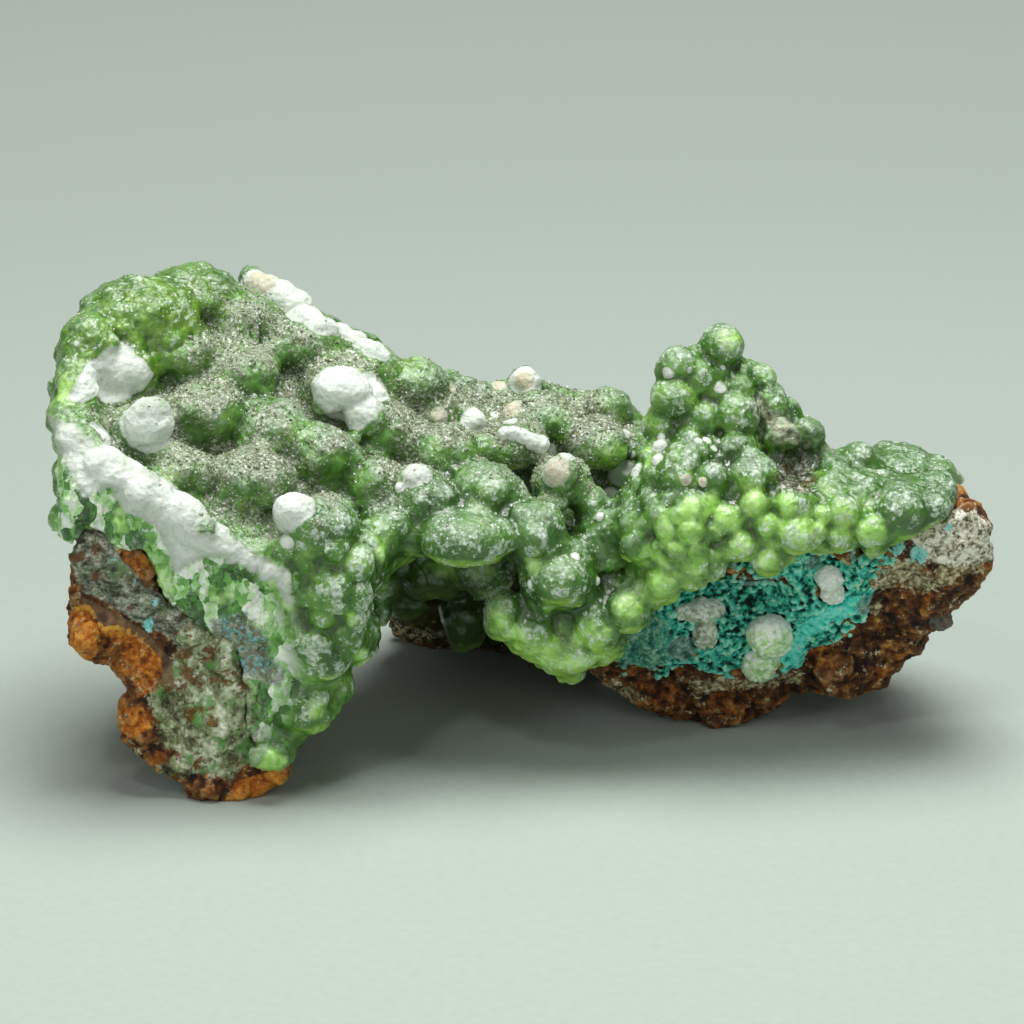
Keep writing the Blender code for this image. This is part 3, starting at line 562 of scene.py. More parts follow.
NODULES = (  # white balls: across, up, radius or three radii, how far each stands proud
    (-37.0, 38.3, (2.6, 2.4, 2.2), 0.7), (-22.9, 29.3, (2.1, 2.0, 1.9), 0.9), (-23.3, 26.1, 0.6, 0.4),
    (-18.9, 42.2, (2.2, 2.1, 1.5), 0.6), (-14.6, 41.2, (2.2, 2.0, 1.5), 0.5), (-15.9, 39.5, (2.0, 2.0, 1.6), 0.6),
    (-17.0, 41.2, (2.9, 2.4, 1.8), 0.9), (-42.0, 36.6, (2.0, 2.0, 1.5), 0.3), (-10.7, 32.9, 1.45, 1.0),
    (-41.2, 42.2, (3.3, 2.0, 1.8), 0.1), (-38.4, 42.2, (1.7, 1.4, 1.4), 0.2),
    (-12.2, 31.6, 0.5, 0.4), (-4.9, 38.2, (1.35, 1.2, 1.1), 0.7), (-8.4, 38.8, (0.95, 0.9, 0.8), 0.4),
    (-7.1, 41.6, (0.9, 0.9, 0.8), 0.4), (0.2, 42.5, (1.6, 1.4, 1.2), 1.0), (-2.4, 41.9, 0.9, 0.4),
    (-4.2, 42.3, 0.8, 0.4), (-1.3, 39.6, (1.2, 1.1, 1.1), 0.5), (-1.2, 38.2, 0.95, 0.5), (-2.8, 38.8, 0.85, 0.4),
    (3.4, 33.1, 1.55, 1.6), (9.0, 40.6, 1.1, 0.7), (9.8, 39.4, 0.9, 0.6), (6.9, 41.3, 0.7, 0.5),
    (10.5, 36.8, 0.85, 0.7), (10.1, 33.0, (1.4, 1.2, 1.1), 0.6), (11.3, 33.3, (0.8, 0.6, 0.6), 0.5),
    (8.8, 30.8, 0.65, 0.5), (7.2, 30.4, 0.6, 0.4), (6.2, 28.6, 0.85, 0.4), (7.7, 28.6, 0.42, 0.3),
    (5.2, 24.6, 0.42, 0.35), (13.6, 35.6, 0.62, 0.5), (13.5, 34.2, 0.62, 0.4), (18.2, 36.0, 0.5, 0.4),
    (18.8, 35.2, 0.5, 0.4), (19.4, 35.8, 0.5, 0.4), (17.4, 36.0, 0.42, 0.3), (16.0, 32.4, 0.6, 0.5),
    (18.0, 32.1, 0.48, 0.4), (16.0, 46.2, 0.65, 0.4), (13.7, 44.4, 0.6, 0.45), (14.6, 43.0, 0.65, 0.5),
    (19.6, 41.4, 0.55, 0.45), (16.4, 43.3, 0.42, 0.3), (19.8, 43.4, 0.42, 0.3), (4.0, 22.0, 0.42, 0.3),
    (5.8, 21.6, 0.35, 0.3), (7.4, 22.2, 0.4, 0.3), (2.6, 21.4, 0.38, 0.3), (0.8, 21.9, 0.4, 0.3),
    (-8.2, 44.0, 0.5, 0.3), (12.6, 41.0, 0.5, 0.3), (11.0, 34.8, 0.4, 0.3), (13.8, 36.6, 0.4, 0.3),
)
WORM = ((-1.9, 37.0, 0.7), (-0.9, 36.9, 0.8), (0.1, 36.7, 0.85), (1.0, 36.3, 0.9), (1.9, 35.9, 0.95),
        (2.8, 35.4, 1.0), (3.6, 34.9, 1.0), (4.3, 34.3, 0.9), (4.8, 33.6, 0.75))
TOP_RIDGE = ((-27.0, 52.4, 1.4), (-25.6, 51.9, 1.7), (-24.2, 51.0, 1.9), (-23.0, 49.9, 2.1), (-21.8, 48.8, 2.0),
             (-20.6, 48.0, 1.6), (-19.4, 47.7, 1.3), (-18.2, 47.2, 1.2), (-17.0, 46.6, 1.2), (-15.9, 46.0, 1.2),
             (-14.9, 45.4, 1.25), (-14.2, 45.0, 1.0))
VEIN = ((-44.8, 36.6, 1.3), (-43.8, 35.6, 1.7), (-42.4, 34.2, 2.0), (-40.8, 33.4, 2.0), (-39.0, 32.9, 2.1),
        (-37.4, 31.8, 2.2), (-36.0, 30.2, 2.2), (-34.7, 28.6, 2.2), (-33.6, 27.4, 2.2), (-32.2, 26.6, 1.9),
        (-30.4, 26.2, 1.6), (-28.4, 25.2, 1.4), (-26.6, 24.2, 1.2), (-25.2, 23.2, 1.1), (-23.6, 22.4, 1.1))
LEG_FACE = ((-46.0, 40.0), (-45.0, 35.0), (-30.0, 25.0), (-24.0, 22.0), (-22.5, 12.0), (-28.0, 3.0), (-47.0, 20.0))

BALLY = ((5.0, 12.0), (12.0, 19.0), (16.0, 23.6), (21.0, 27.6), (36.0, 25.0), (37.0, 31.6), (28.0, 31.6), (26.0, 40.0),
         (20.0, 47.6), (12.0, 45.0), (12.0, 31.0), (9.0, 26.0))

CRUST_VOXEL = 0.235
rng = np.random.default_rng(7)
crust = copy_of("smithsonite_crust", "crust")
modified(crust, "REMESH", mode="VOXEL", voxel_size=0.5 * MM)
crust = only_largest(crust)
modified(crust, "SMOOTH", factor=0.5, iterations=5)
crust_tree = tree_of(crust)
PLUGS = ((-8.0, 7.4, 25.3, 1.3), (-6.6, 7.3, 25.3, 1.2), (-9.4, 7.5, 25.3, 1.2))  # x, y, z, radius in mm
plugs = copies("plugs", np.array(PLUGS)[:, :3] * MM, np.array(PLUGS)[:, 3:].repeat(3, axis=1) * MM)
heads, head_centres, head_sizes = studs("heads", crust_tree, TOWER + CURTAIN + RIGHT_LUMP + BRIDGE + LEG + LOBE)
ridges = [(across, up, radius, 0.6 * radius) for across, up, radius in WORM + TOP_RIDGE]
ridges += [(across, up, radius, 0.12 * radius) for across, up, radius in VEIN]
small_white = 0.7  # below this radius in mm a white growth stands clear of the crust, above it is half sunk
NODULES = tuple(
    (across, up, size * 1.25, proud * 1.3) if isinstance(size, float) and size < small_white
    else (across, up, size, proud * 0.6)
    for across, up, size, proud in NODULES
)
whites, white_centres, white_sizes = studs("whites", crust_tree, NODULES + tuple(ridges))
print("crust form:", len(crust.data.vertices), "points,", len(white_centres), "white growths")

# %% Scatter small heads over the rest
HEAD_COUNT = 7000
spots, out = scattered(points_of(crust), triangles_of(crust), HEAD_COUNT, rng)
radii = np.clip(rng.lognormal(math.log(1.0), 0.45, HEAD_COUNT), 0.45, 2.4) * MM
order = np.argsort(-radii)
spots, out, radii = spots[order], out[order], radii[order]
kept = spaced(spots, radii * 1.1)
spots, out, radii = spots[kept], out[kept], radii[kept]
for centre, size in zip(head_centres, head_sizes):
    away = np.linalg.norm(spots - centre, axis=1) > size.max() * 1.05
    spots, out, radii = spots[away], out[away], radii[away]
across, up, _ = as_seen(spots)
stretch = 1 + 0.3 * rng.random((len(spots), 1))
flat = radii[:, None] * np.concatenate([stretch, 1 / stretch, np.full((len(spots), 1), 0.8)], axis=1)
sunk = np.where(outlined(across, up, LEG_FACE) > 0, 0.95, 0.66)
sunk = np.where(outlined(across, up, BALLY) > 0, 0.35, sunk)[:, None] * radii[:, None]
small = copies("small_heads", spots - out * sunk, flat, turned_to(out, rng))
crust = fused([crust, heads, whites, small, plugs], CRUST_VOXEL, smooth=2)
crust.name = "crust"
print("crust fused:", len(crust.data.polygons), "faces,", round(time.time() - started, 1), "s")


# %% Thin out what is never seen
# Where the crust lies on the rock, nobody sees its faces, so most of them are collapsed there. Such a point is
# inside the other solid, or a look straight outward from it meets that solid within a millimetre and a half.
def covered(tree, point, normal):
    nearest, its_normal, _, distance = tree.find_nearest(point)
    if distance > 2.5 * MM:
        return False
    if (nearest - Vector(point)).dot(its_normal) > 0:
        return True
    return tree.ray_cast(point, normal, 1.5 * MM)[0] is not None


def thinned(obj, tree, keep):
    """Keeps that share of the faces that are covered by the solid in the tree, and all other faces."""
    against = np.array([covered(tree, *pair) for pair in zip(points_of(obj).tolist(), normals_of(obj).tolist())])
    against = evened(obj, against, 8) > 0.97
    obj.vertex_groups.new(name="hidden").add(np.flatnonzero(against).tolist(), 1.0, "REPLACE")
    before = len(obj.data.polygons)
    share = 1 - (1 - keep) * against.mean()
    modified(obj, "DECIMATE", ratio=share, vertex_group="hidden", vertex_group_factor=1000.0)
    obj.vertex_groups.clear()
    print(obj.name, "thinned from", before, "to", len(obj.data.polygons), "faces")


rock_solid = copy_of("limonite_matrix", "rock_solid")
rock_tree = tree_of(rock_solid)
bpy.data.objects.remove(rock_solid)
thinned(crust, rock_tree, 0.08)
print("thinned", round(time.time() - started, 1), "s")

# %% [markdown]
# ## The green crust: its colours
#
# Pure zinc carbonate is white. Copper makes it green, and it takes up more of it in some layers than in others, so
# thick heads are deep green, young heads are yellow-green, and the last growth is white again. Thin edges that look
# down shine yellow-green with light that comes through them; that light is painted into the colour, and so is the
# shade in the creases and behind the arch. A dust of tiny crystals covers what faced up.

# %% Say where the patches are
LIME = (  # across, up and radius in mm
    (15.5, 26.8, 3.0), (16.6, 29.4, 1.6), (20.3, 28.2, 2.0), (22.9, 29.8, 2.0), (21.9, 26.0, 2.0), (24.4, 24.3, 1.5),
    (27.1, 26.9, 2.2), (32.1, 28.8, 2.2), (34.5, 26.9, 2.0), (31.6, 26.9, 1.5), (24.5, 28.0, 2.0), (13.7, 22.0, 1.8),
    (10.5, 20.0, 1.8), (5.4, 13.2, 2.6), (13.0, 24.5, 1.8), (18.5, 29.5, 1.8), (29.6, 28.0, 1.6), (26.0, 29.6, 1.6),
    (-14.0, 25.4, 1.3), (2.0, 15.0, 2.4), (-3.0, 18.0, 1.8), (6.5, 16.4, 2.2), (-0.6, 16.4, 1.8), (3.6, 13.4, 2.2),
    (-7.6, 23.6, 1.8), (-4.0, 23.0, 1.6), (20.8, 46.2, 1.6), (22.0, 45.0, 1.2), (12.4, 34.6, 1.4), (9.4, 34.6, 1.6),
    (-45.2, 40.9, 1.8), (1.0, 23.6, 1.2), (17.0, 23.6, 1.4), (8.0, 15.0, 1.6),
    (-16.2, 14.6, 1.2), (-17.0, 18.6, 1.0), (-20.4, 9.6, 1.2), (-45.9, 36.2, 1.0),
)
LEG_LIME = (  # outlines in the view
    ((-40.4, 30.0), (-39.2, 29.6), (-38.8, 27.0), (-39.8, 26.6), (-40.6, 28.2)),
    ((-36.4, 23.6), (-35.0, 24.0), (-34.4, 21.2), (-35.4, 18.8), (-36.2, 20.4)),
    ((-25.4, 22.6), (-24.2, 22.8), (-22.6, 19.6), (-23.2, 19.0), (-24.8, 20.8)),
    ((-26.6, 3.4), (-25.0, 6.2), (-23.4, 4.4), (-24.8, 2.4)),
    ((-31.0, 21.6), (-28.8, 21.2), (-29.0, 19.8), (-31.2, 20.2)),
)
WHITE_FACET = ((-45.2, 40.2), (-43.1, 44.1), (-41.3, 44.7), (-39.4, 43.9), (-37.6, 43.9), (-36.7, 42.8),
               (-37.8, 41.2), (-39.9, 40.5), (-42.4, 40.5), (-43.6, 39.8))
VEIN_BAND = (
    (-46.6, 38.3), (-44.1, 37.9), (-42.6, 34.8), (-40.1, 34.6), (-37.5, 33.4), (-35.3, 32.1), (-33.1, 30.6),
    (-32.8, 27.3), (-30.4, 26.8), (-28.3, 26.3), (-23.3, 23.3), (-22.6, 20.3), (-23.2, 19.6), (-24.6, 22.2),
    (-27.2, 23.4), (-29.4, 24.8), (-32.0, 24.4), (-34.4, 22.9), (-36.1, 27.7), (-37.7, 29.8), (-40.8, 31.5),
    (-43.2, 30.4), (-45.1, 33.7), (-46.6, 37.0),
)
VEIL = (
    (-47.0, 38.0), (-40.0, 33.0), (-34.0, 22.0), (-37.0, 20.0), (-32.0, 22.0), (-28.0, 21.0), (-22.0, 24.6),
    (-24.0, 26.0), (-32.0, 30.0), (-38.0, 36.0), (-45.0, 39.0),
)
DRUSE_BAND = (
    (-44.0, 39.6), (-36.0, 42.0), (-33.0, 46.0), (-30.5, 50.5), (-27.0, 52.0), (-18.0, 46.0), (-8.0, 42.5),
    (8.0, 42.0), (12.0, 38.0), (9.5, 32.0), (4.0, 30.0), (-6.0, 33.5), (-12.5, 29.5), (-18.0, 30.0), (-22.0, 25.0),
    (-30.0, 28.0), (-38.0, 34.0), (-42.0, 36.0),
)
CLEAR = (  # green that shows through the dust
    (-26.0, 40.6, 2.6), (-28.8, 38.0, 1.8), (-21.4, 37.8, 2.2), (-15.6, 36.4, 2.6), (-17.0, 33.0, 2.6), (-24.0, 44.4, 1.6),
    (-6.0, 33.6, 2.4), (-9.6, 36.0, 1.4), (3.0, 38.4, 1.6), (-2.6, 34.0, 2.0), (-32.0, 36.6, 1.3), (9.4, 35.4, 1.6),
    (-11.4, 43.2, 1.4), (-4.0, 36.0, 1.2), (-20.6, 30.0, 1.6), (-27.6, 31.4, 1.2),
)
DARK_ROCK = ((-44.7, 25.8), (-42.3, 27.7), (-41.1, 26.7), (-39.6, 24.3), (-37.0, 21.9), (-35.6, 20.6),
             (-33.0, 18.6), (-34.4, 16.6), (-38.9, 18.7), (-41.1, 20.2), (-43.3, 21.2), (-44.5, 24.3))
SPECKLED = ((-31.4, 18.7), (-27.8, 19.4), (-25.6, 18.0), (-24.8, 15.6), (-23.4, 13.2), (-24.1, 11.0),
            (-26.5, 12.2), (-28.5, 13.4), (-30.2, 13.9), (-30.9, 16.3))
ROUGH_FOOT = ((-37.0, 9.0), (-35.6, 14.0), (-31.5, 17.0), (-28.0, 16.0), (-25.6, 10.0), (-26.2, 4.0), (-28.6, 2.0),
              (-33.0, 3.4))
SLOPE = ((21.9, 41.4), (24.2, 41.2), (27.9, 38.4), (29.0, 36.6), (31.4, 36.0), (32.4, 34.2), (29.6, 34.4),
         (27.4, 35.0), (25.0, 34.6), (23.6, 36.6), (22.6, 39.0))
HOLLOW = ((24.9, 31.6), (25.1, 35.0), (26.4, 35.6), (28.6, 35.2), (29.8, 33.4), (29.4, 31.2), (27.0, 30.8))
TAN = (
    (3.5, 33.0, 1.7), (-1.3, 39.6, 1.2), (-8.5, 38.9, 0.9), (16.0, 32.4, 0.8), (18.0, 32.1, 0.7), (-7.1, 41.7, 1.0),
    (-2.5, 42.0, 1.0), (-26.4, 52.5, 1.4), (10.0, 39.4, 0.8), (0.2, 42.4, 1.0),
)
# The white on the swells in these outlines is partly frosting and partly a painted highlight on the crests.
FROST_AND_SHEEN_OUTLINES = (  # outlines, and how much frost lies on the swells in each
    (((-24.6, 25.0), (-22.0, 29.0), (-13.0, 31.6), (-13.4, 22.0), (-15.0, 13.0), (-20.0, 8.0), (-25.6, 7.0),
      (-23.6, 16.0)), 0.95),
    (((-13.0, 33.0), (-6.0, 33.4), (3.4, 33.0), (9.6, 30.0), (10.0, 23.0), (9.0, 13.0), (2.0, 12.6), (-4.0, 19.0),
      (-9.6, 23.6), (-13.6, 25.0)), 0.66),
    (((12.0, 31.0), (12.0, 47.6), (24.4, 47.6), (27.0, 41.0), (28.6, 31.6), (20.0, 31.6)), 0.75),
    (((30.6, 37.6), (38.0, 37.6), (44.6, 33.6), (44.0, 26.8), (36.0, 28.0), (31.0, 31.4)), 0.7),
    (((-46.0, 41.0), (-46.0, 46.0), (-40.0, 54.0), (-30.0, 54.0), (-30.0, 46.0), (-38.0, 43.0)), 0.55),
    (((5.0, 12.0), (12.0, 19.0), (16.0, 23.6), (21.0, 27.6), (28.0, 31.6), (36.0, 31.6), (36.0, 25.0), (24.0, 22.0),
      (14.0, 20.0), (7.0, 12.0)), 0.7),
)
BRIDGE_PART, TOWER_PART, RIGHT_PART, LOBE_PART, CURTAIN_PART = (outline for outline, _ in FROST_AND_SHEEN_OUTLINES[1:])
# Where the crust is painted darker as shade, behind the arch:
SHADE_BEHIND_ARCH = ((-13.8, 22.6), (-10.0, 23.2), (-6.0, 22.4), (-3.8, 22.8), (-3.6, 18.0), (-3.0, 15.0), (-8.0, 14.0),
               (-13.8, 15.0))
LOBE_LIME = ((-42.5, 48.0, 3.2), (-39.0, 50.6, 3.2), (-45.4, 42.6, 2.6), (-40.6, 45.8, 3.2), (-37.5, 47.0, 3.0),
             (-34.0, 47.5, 2.4), (-36.0, 52.4, 2.2))


# %% Paint them, and roughen each kind of patch in its own way
def weighted(piece, name, weights):
    """Writes weights from 0 to 1 on the vertices as a vertex group, in ten steps."""
    group = piece.vertex_groups.new(name=name)
    steps = np.round(np.clip(weights, 0, 1) * 10).astype(int)
    for step in range(1, 11):
        group.add(np.flatnonzero(steps == step).tolist(), step / 10, "REPLACE")


def largest_of(*patches):
    return np.maximum.reduce(patches)


paint = Paint(crust)
print("crust looked at", round(time.time() - started, 1), "s")
balls = list(zip(white_centres, white_sizes.max(axis=1)))
white = largest_of(
    paint.round_spots([(centre, radius * 1.12) for centre, radius in balls], 0.26),
    paint.patch(WHITE_FACET, 0.5),
    paint.patch(VEIN_BAND, 1.6),
)
halo = paint.round_spots([(centre, radius * 1.3) for centre, radius in balls], 0.4)
leg = paint.patch(LEG_FACE, 1.5)
leg_lime = largest_of(*[paint.patch(outline, 0.5) for outline in LEG_LIME])
dark = largest_of(paint.patch(DARK_ROCK, 0.9), 0.6 * paint.patch(HOLLOW, 1.6))
rock = largest_of(0.75 * paint.patch(ROUGH_FOOT, 3.0), 0.62 * paint.patch(SLOPE, 2.0), 0.6 * paint.patch(SPECKLED, 1.6))
upward = eased((paint.normals[:, 2] - 0.25) / 0.5)
top = evened(crust, upward, 30)
slope_z = evened(crust, paint.normals[:, 2], 24)
druse = np.maximum(paint.patch(DRUSE_BAND, 2.5), 0.6 * eased(top * 1.4 - 0.6) * ~paint.seen)
druse *= (0.58 + 0.42 * top) * (1 - white) * (1 - 0.75 * paint.seen_spots(CLEAR, 0.6))
on_heads = paint.round_spots(list(zip(head_centres, head_sizes.max(axis=1))), 0.2)
weighted(crust, "green", (1 - white) * (1 - 0.6 * leg) * (1 - 0.3 * druse) * (1 - 0.7 * on_heads))
weighted(crust, "broken", np.maximum(leg * (1 - white), rock))
weighted(crust, "rock", largest_of(dark, rock, 0.3 * leg))
weighted(crust, "white", white)
weighted(crust, "pit", paint.patch(HOLLOW, 1.6))
weighted(crust, "dust", np.maximum(druse, 0.25 * halo))
roughened(crust, "CLOUDS", 3.4, 0.7, "green")
roughened(crust, "VORONOI", 1.7, -0.32, "green", noise_intensity=1.2)
roughened(crust, "VORONOI", 0.62, -0.10, "green", noise_intensity=1.2)
roughened(crust, "VORONOI", 1.9, 0.9, "broken", middle=0.4, distance_metric="CHEBYCHEV")
roughened(crust, "CLOUDS", 0.8, 0.45, "broken", noise_depth=3)
roughened(crust, "VORONOI", 1.2, 0.5, "rock", middle=0.5, distance_metric="CHEBYCHEV")
roughened(crust, "CLOUDS", 0.6, 0.5, "rock", noise_depth=3)
roughened(crust, "CLOUDS", 2.2, 0.6, "white", noise_depth=2)
roughened(crust, "CLOUDS", 0.6, 0.14, "white")
roughened(crust, "CLOUDS", 0.42, 0.30, "dust", noise_depth=2)
roughened(crust, "CLOUDS", 0.45, 0.10)
modified(crust, "DISPLACE", strength=-1.0 * MM, mid_level=0.0, vertex_group="pit")
crust.vertex_groups.clear()
swell = relief_of(crust, paint.normals, 110, 0.7)
swollen = eased((swell - 0.35) / 0.4)
# White on the swells: partly frosting, partly a painted highlight on the crests that face the lamps.
frost = largest_of(*[amount * paint.patch(outline, 2.0) for outline, amount in FROST_AND_SHEEN_OUTLINES]) * (0.25 + 0.75 * swollen)
paint.keep(
    white=white,
    lime=largest_of(
        paint.seen_spots(LIME, 0.7) * 0.9,
        paint.seen_spots(LOBE_LIME, 0.7) * 0.28,
        0.62 * paint.patch(CURTAIN_PART, 2.4),
        leg_lime,
    ),
    deep=largest_of(paint.patch(RIGHT_PART, 2.0), 0.8 * paint.patch(BRIDGE_PART, 4.0)),
    olive=paint.patch(LOBE_PART, 4.0),
    # painted shade on the heads behind the arch
    under=paint.patch(SHADE_BEHIND_ARCH, 1.5),
    broken=leg,
    druse=druse,
    frost=(1 - white) * largest_of(frost, 0.55 * halo, 0.7 * paint.patch(VEIL, 2.4)),
    rock=rock * (1 - white),
    dark=dark * (1 - white),
    specks=paint.patch(SPECKLED, 1.4),
    tan=paint.seen_spots(TAN, 0.2) * white,
    relief=relief_of(crust, paint.normals, 16),
    swell=swell,
    top=top,
    # painted light: faces that look down, lit as if light shone through the thin edges of the swells
    glow=eased(-slope_z * 1.5 - 0.1) * (0.3 + 0.7 * swollen),
)
print("crust painted", round(time.time() - started, 1), "s")

# %% [markdown]
# ## The green crust: its material
#
# Smithsonite has a waxy to glassy skin and lets a little light in, which comes out again in thin edges; that light
# is painted into the colour. The material is layered as the crust is: green, then frosting with a painted sheen on
# what faces up, then the grey sparkling dust with painted glints, then white.

# %% Nodes for patterns
tree = spot = None  # the tree and the coordinates that the next functions add to


def started_material(name):
    """A new material whose patterns are measured from the specimen's own zero."""
    global tree, spot
    made, tree, made_shader = new_material(name)
    spot = node(tree, "ShaderNodeTexCoord").outputs["Object"]
    return made, made_shader


def worn(name):
    """The number painted on the mesh under that name."""
    return node(tree, "ShaderNodeAttribute", {"attribute_name": name}).outputs["Fac"]


def noise(scale_mm, detail=3.0, roughness=0.55, place=None):
    return node(
        tree, "ShaderNodeTexNoise", Vector=place or spot, Scale=1 / (scale_mm * MM), Detail=detail, Roughness=roughness
    ).outputs["Fac"]


def cells(scale_mm, output="Distance", feature="F1"):
    return node(tree, "ShaderNodeTexVoronoi", {"feature": feature}, Vector=spot, Scale=1 / (scale_mm * MM)).outputs[output]


def between(value, low, high, to_low=0.0, to_high=1.0):
    """Maps low..high to to_low..to_high smoothly and stops at the ends."""
    return node(
        tree, "ShaderNodeMapRange", {"interpolation_type": "SMOOTHSTEP"},
        Value=value, From_Min=low, From_Max=high, To_Min=to_low, To_Max=to_high,
    ).outputs["Result"]


def sum_of(operation, a, b, c=0.0):
    return node(tree, "ShaderNodeMath", {"operation": operation}, i0=a, i1=b, i2=c).outputs[0]


def times(*values):
    made = values[0]
    for value in values[1:]:
        made = sum_of("MULTIPLY", made, value)
    return made


def frayed(value, by, amount):
    """A painted number with a pattern around 0.5 added to it, so that its edge frays."""
    return sum_of("ADD", value, sum_of("MULTIPLY", sum_of("SUBTRACT", by, 0.5), amount))


def mixed(share, a, b):
    """Colour a where share is 0 and b where it is 1."""
    return node(tree, "ShaderNodeMix", {"data_type": "RGBA"}, i0=share, i6=a, i7=b).outputs[2]


def ramp(value, *stops):
    """A colour ramp from (place, hex colour) stops."""
    made = node(tree, "ShaderNodeValToRGB", Fac=value)
    elements = made.color_ramp.elements
    while len(elements) < len(stops):
        elements.new(0.5)
    for element, (place, colour) in zip(elements, stops):
        element.position = place
        element.color = linear(colour)
    return made.outputs["Color"]


def split(colour):
    """The red, green and blue of a colour, as three unrelated numbers for one cell."""
    return node(tree, "ShaderNodeSeparateColor", Color=colour).outputs


# %% Make the smithsonite
smithsonite, shader = started_material("botryoidal_smithsonite")
grain = noise(0.45, 3.0, 0.65)
coarse = noise(1.3, 5.0, 0.68)
fine = noise(0.6, 4.0, 0.75)
cloud = noise(2.0, 6.0, 0.65)
patches = noise(2.6, 5.0, 0.6)
green = ramp(noise(4.5, 4.0, 0.6), (0.30, "#33581c"), (0.46, "#4a7a26"), (0.58, "#66983a"), (0.72, "#8db254"))
green = mixed(times(worn("deep"), 0.65), green, linear("#3d6330"))
green = mixed(times(worn("olive"), 0.6), green, ramp(coarse, (0.36, "#416a15"), (0.5, "#648b24"), (0.64, "#88a83e")))
# Painted shade: a darker green in the creases between the heads and in the valleys between the lumps, less where dust
# lies.
green = mixed(between(worn("relief"), 0.55, 0.28, 0.0, 0.6), green, linear("#28481a"))
green = mixed(times(between(worn("swell"), 0.5, 0.15, 0.0, 0.75), between(worn("druse"), 0.1, 0.5, 1.0, 0.5)), green,
              linear("#223b10"))
lime_here = between(frayed(worn("lime"), coarse, 1.3), 0.25, 1.1)
lime = ramp(cloud, (0.35, "#86c04a"), (0.5, "#aadd6c"), (0.65, "#d0f4a6"))
# Painted shade: the lime is darker in the creases between the heads.
lime = mixed(between(worn("relief"), 0.5, 0.25, 0.0, 0.8), lime, linear("#35681d"))
green = mixed(lime_here, green, lime)
# Painted light: a bright yellow-green on the faces that look down, as if light shone through thin edges.
green = mixed(between(frayed(worn("glow"), coarse, 0.5), 0.3, 0.9, 0.0, 0.8), green, linear("#9cc84a"))
# Painted shade: the heads behind the arch are darker.
green = mixed(times(worn("under"), 0.8), green, linear("#2a381a"))
# The broken face on the left is a mass of shards of many greens, each of one colour, with milky ones among them.
bent = node(tree, "ShaderNodeTexNoise", Vector=spot, Scale=1 / (1.6 * MM), Detail=4.0).outputs["Color"]
bent = node(tree, "ShaderNodeVectorMath", {"operation": "SCALE"}, i0=bent, Scale=1.6 * MM).outputs[0]
bent = node(tree, "ShaderNodeVectorMath", {"operation": "ADD"}, i0=bent, i1=spot).outputs[0]
bent = node(tree, "ShaderNodeMapping", Vector=bent, Rotation=(0.0, math.radians(-30), 0.0), Scale=(1.0, 1.0, 0.55)).outputs[0]
shards = split(node(tree, "ShaderNodeTexVoronoi", Vector=bent, Scale=1 / (1.5 * MM)).outputs["Color"])
slivers = split(node(tree, "ShaderNodeTexVoronoi", Vector=bent, Scale=1 / (0.55 * MM)).outputs["Color"])
shard_light = sum_of("ADD", times(shards[0], 0.42), times(slivers[0], 0.2))
shard_light = sum_of("ADD", shard_light, times(patches, 0.42))
facets = ramp(shard_light, (0.30, "#2a5020"), (0.41, "#4c8c37"), (0.51, "#83c25e"), (0.61, "#c2eaaa"), (0.71, "#fafff6"))
green = mixed(times(worn("broken"), between(worn("lime"), 0.0, 0.8, 0.95, 0.35)), green, facets)
# Frosting and painted sheen: a thin white skin in flakes, on what stands out and where it was let stand, and a
# white film painted on raised faces that look up, standing in for the lamp's highlight.
flake = noise(1.5, 6.0, 0.72)
raised = sum_of("ADD", times(worn("relief"), 0.4), times(worn("swell"), 0.6))
flaky = sum_of("ADD", times(worn("frost"), 0.5), times(raised, 0.25))
frost_here = between(frayed(frayed(flaky, flake, 2.4), fine, 1.0), 0.50, 0.64, 0.0, 0.72)
frost_here = times(frost_here, between(worn("frost"), 0.05, 0.3), between(grain, 0.3, 0.6, 0.55, 1.0))
# Painted sheen: white on what stands out and faces up, less on the lime, olive and deep green.
painted_sheen = between(frayed(frayed(raised, flake, 1.6), worn("top"), 0.35), 0.5, 0.8, 0.0, 0.3)
painted_sheen = times(painted_sheen, between(worn("lime"), 0.9, 0.2, 0.4, 1.0), between(worn("olive"), 0.0, 1.0, 1.0, 0.2),
             between(worn("deep"), 0.0, 1.0, 1.0, 0.6))
# Less frosting and painted sheen behind the arch, where the painted shade lies.
frost_here = times(sum_of("MAXIMUM", frost_here, painted_sheen), between(worn("under"), 0.0, 1.0, 1.0, 0.25))
skin = mixed(frost_here, green, ramp(grain, (0.36, "#93aa8e"), (0.5, "#bccdb8"), (0.62, "#e6efe6")))
# Sparkling dust: crystals of about 0.2 mm, each with its own lightness.
crystal = split(cells(0.21, "Color"))
crystal_light = crystal[0]
dust = ramp(crystal_light, (0.08, "#46552f"), (0.32, "#66704c"), (0.58, "#868c70"), (0.84, "#a5ab97"), (0.98, "#dde3d6"))
dust = mixed(between(patches, 0.42, 0.6, 0.0, 0.4), dust, linear("#93a088"))
dust_spread = frayed(frayed(frayed(worn("druse"), cloud, 2.3), fine, 1.0), crystal_light, 0.4)
dust_here = times(between(dust_spread, 0.40, 1.05, 0.0, 0.9), between(worn("druse"), 0.05, 0.3))
skin = mixed(dust_here, skin, dust)
# Painted glints: white points on the crystals and frosted crests that face up, standing in for the lamp's sparkle; none
# on white.
painted_glints = times(between(crystal[1], 0.95, 0.98, 0.0, 0.6), between(sum_of("ADD", worn("top"), frost_here), 0.1, 0.7))
skin = mixed(times(painted_glints, between(worn("white"), 0.6, 0.2)), skin, linear("#dfe8df"))
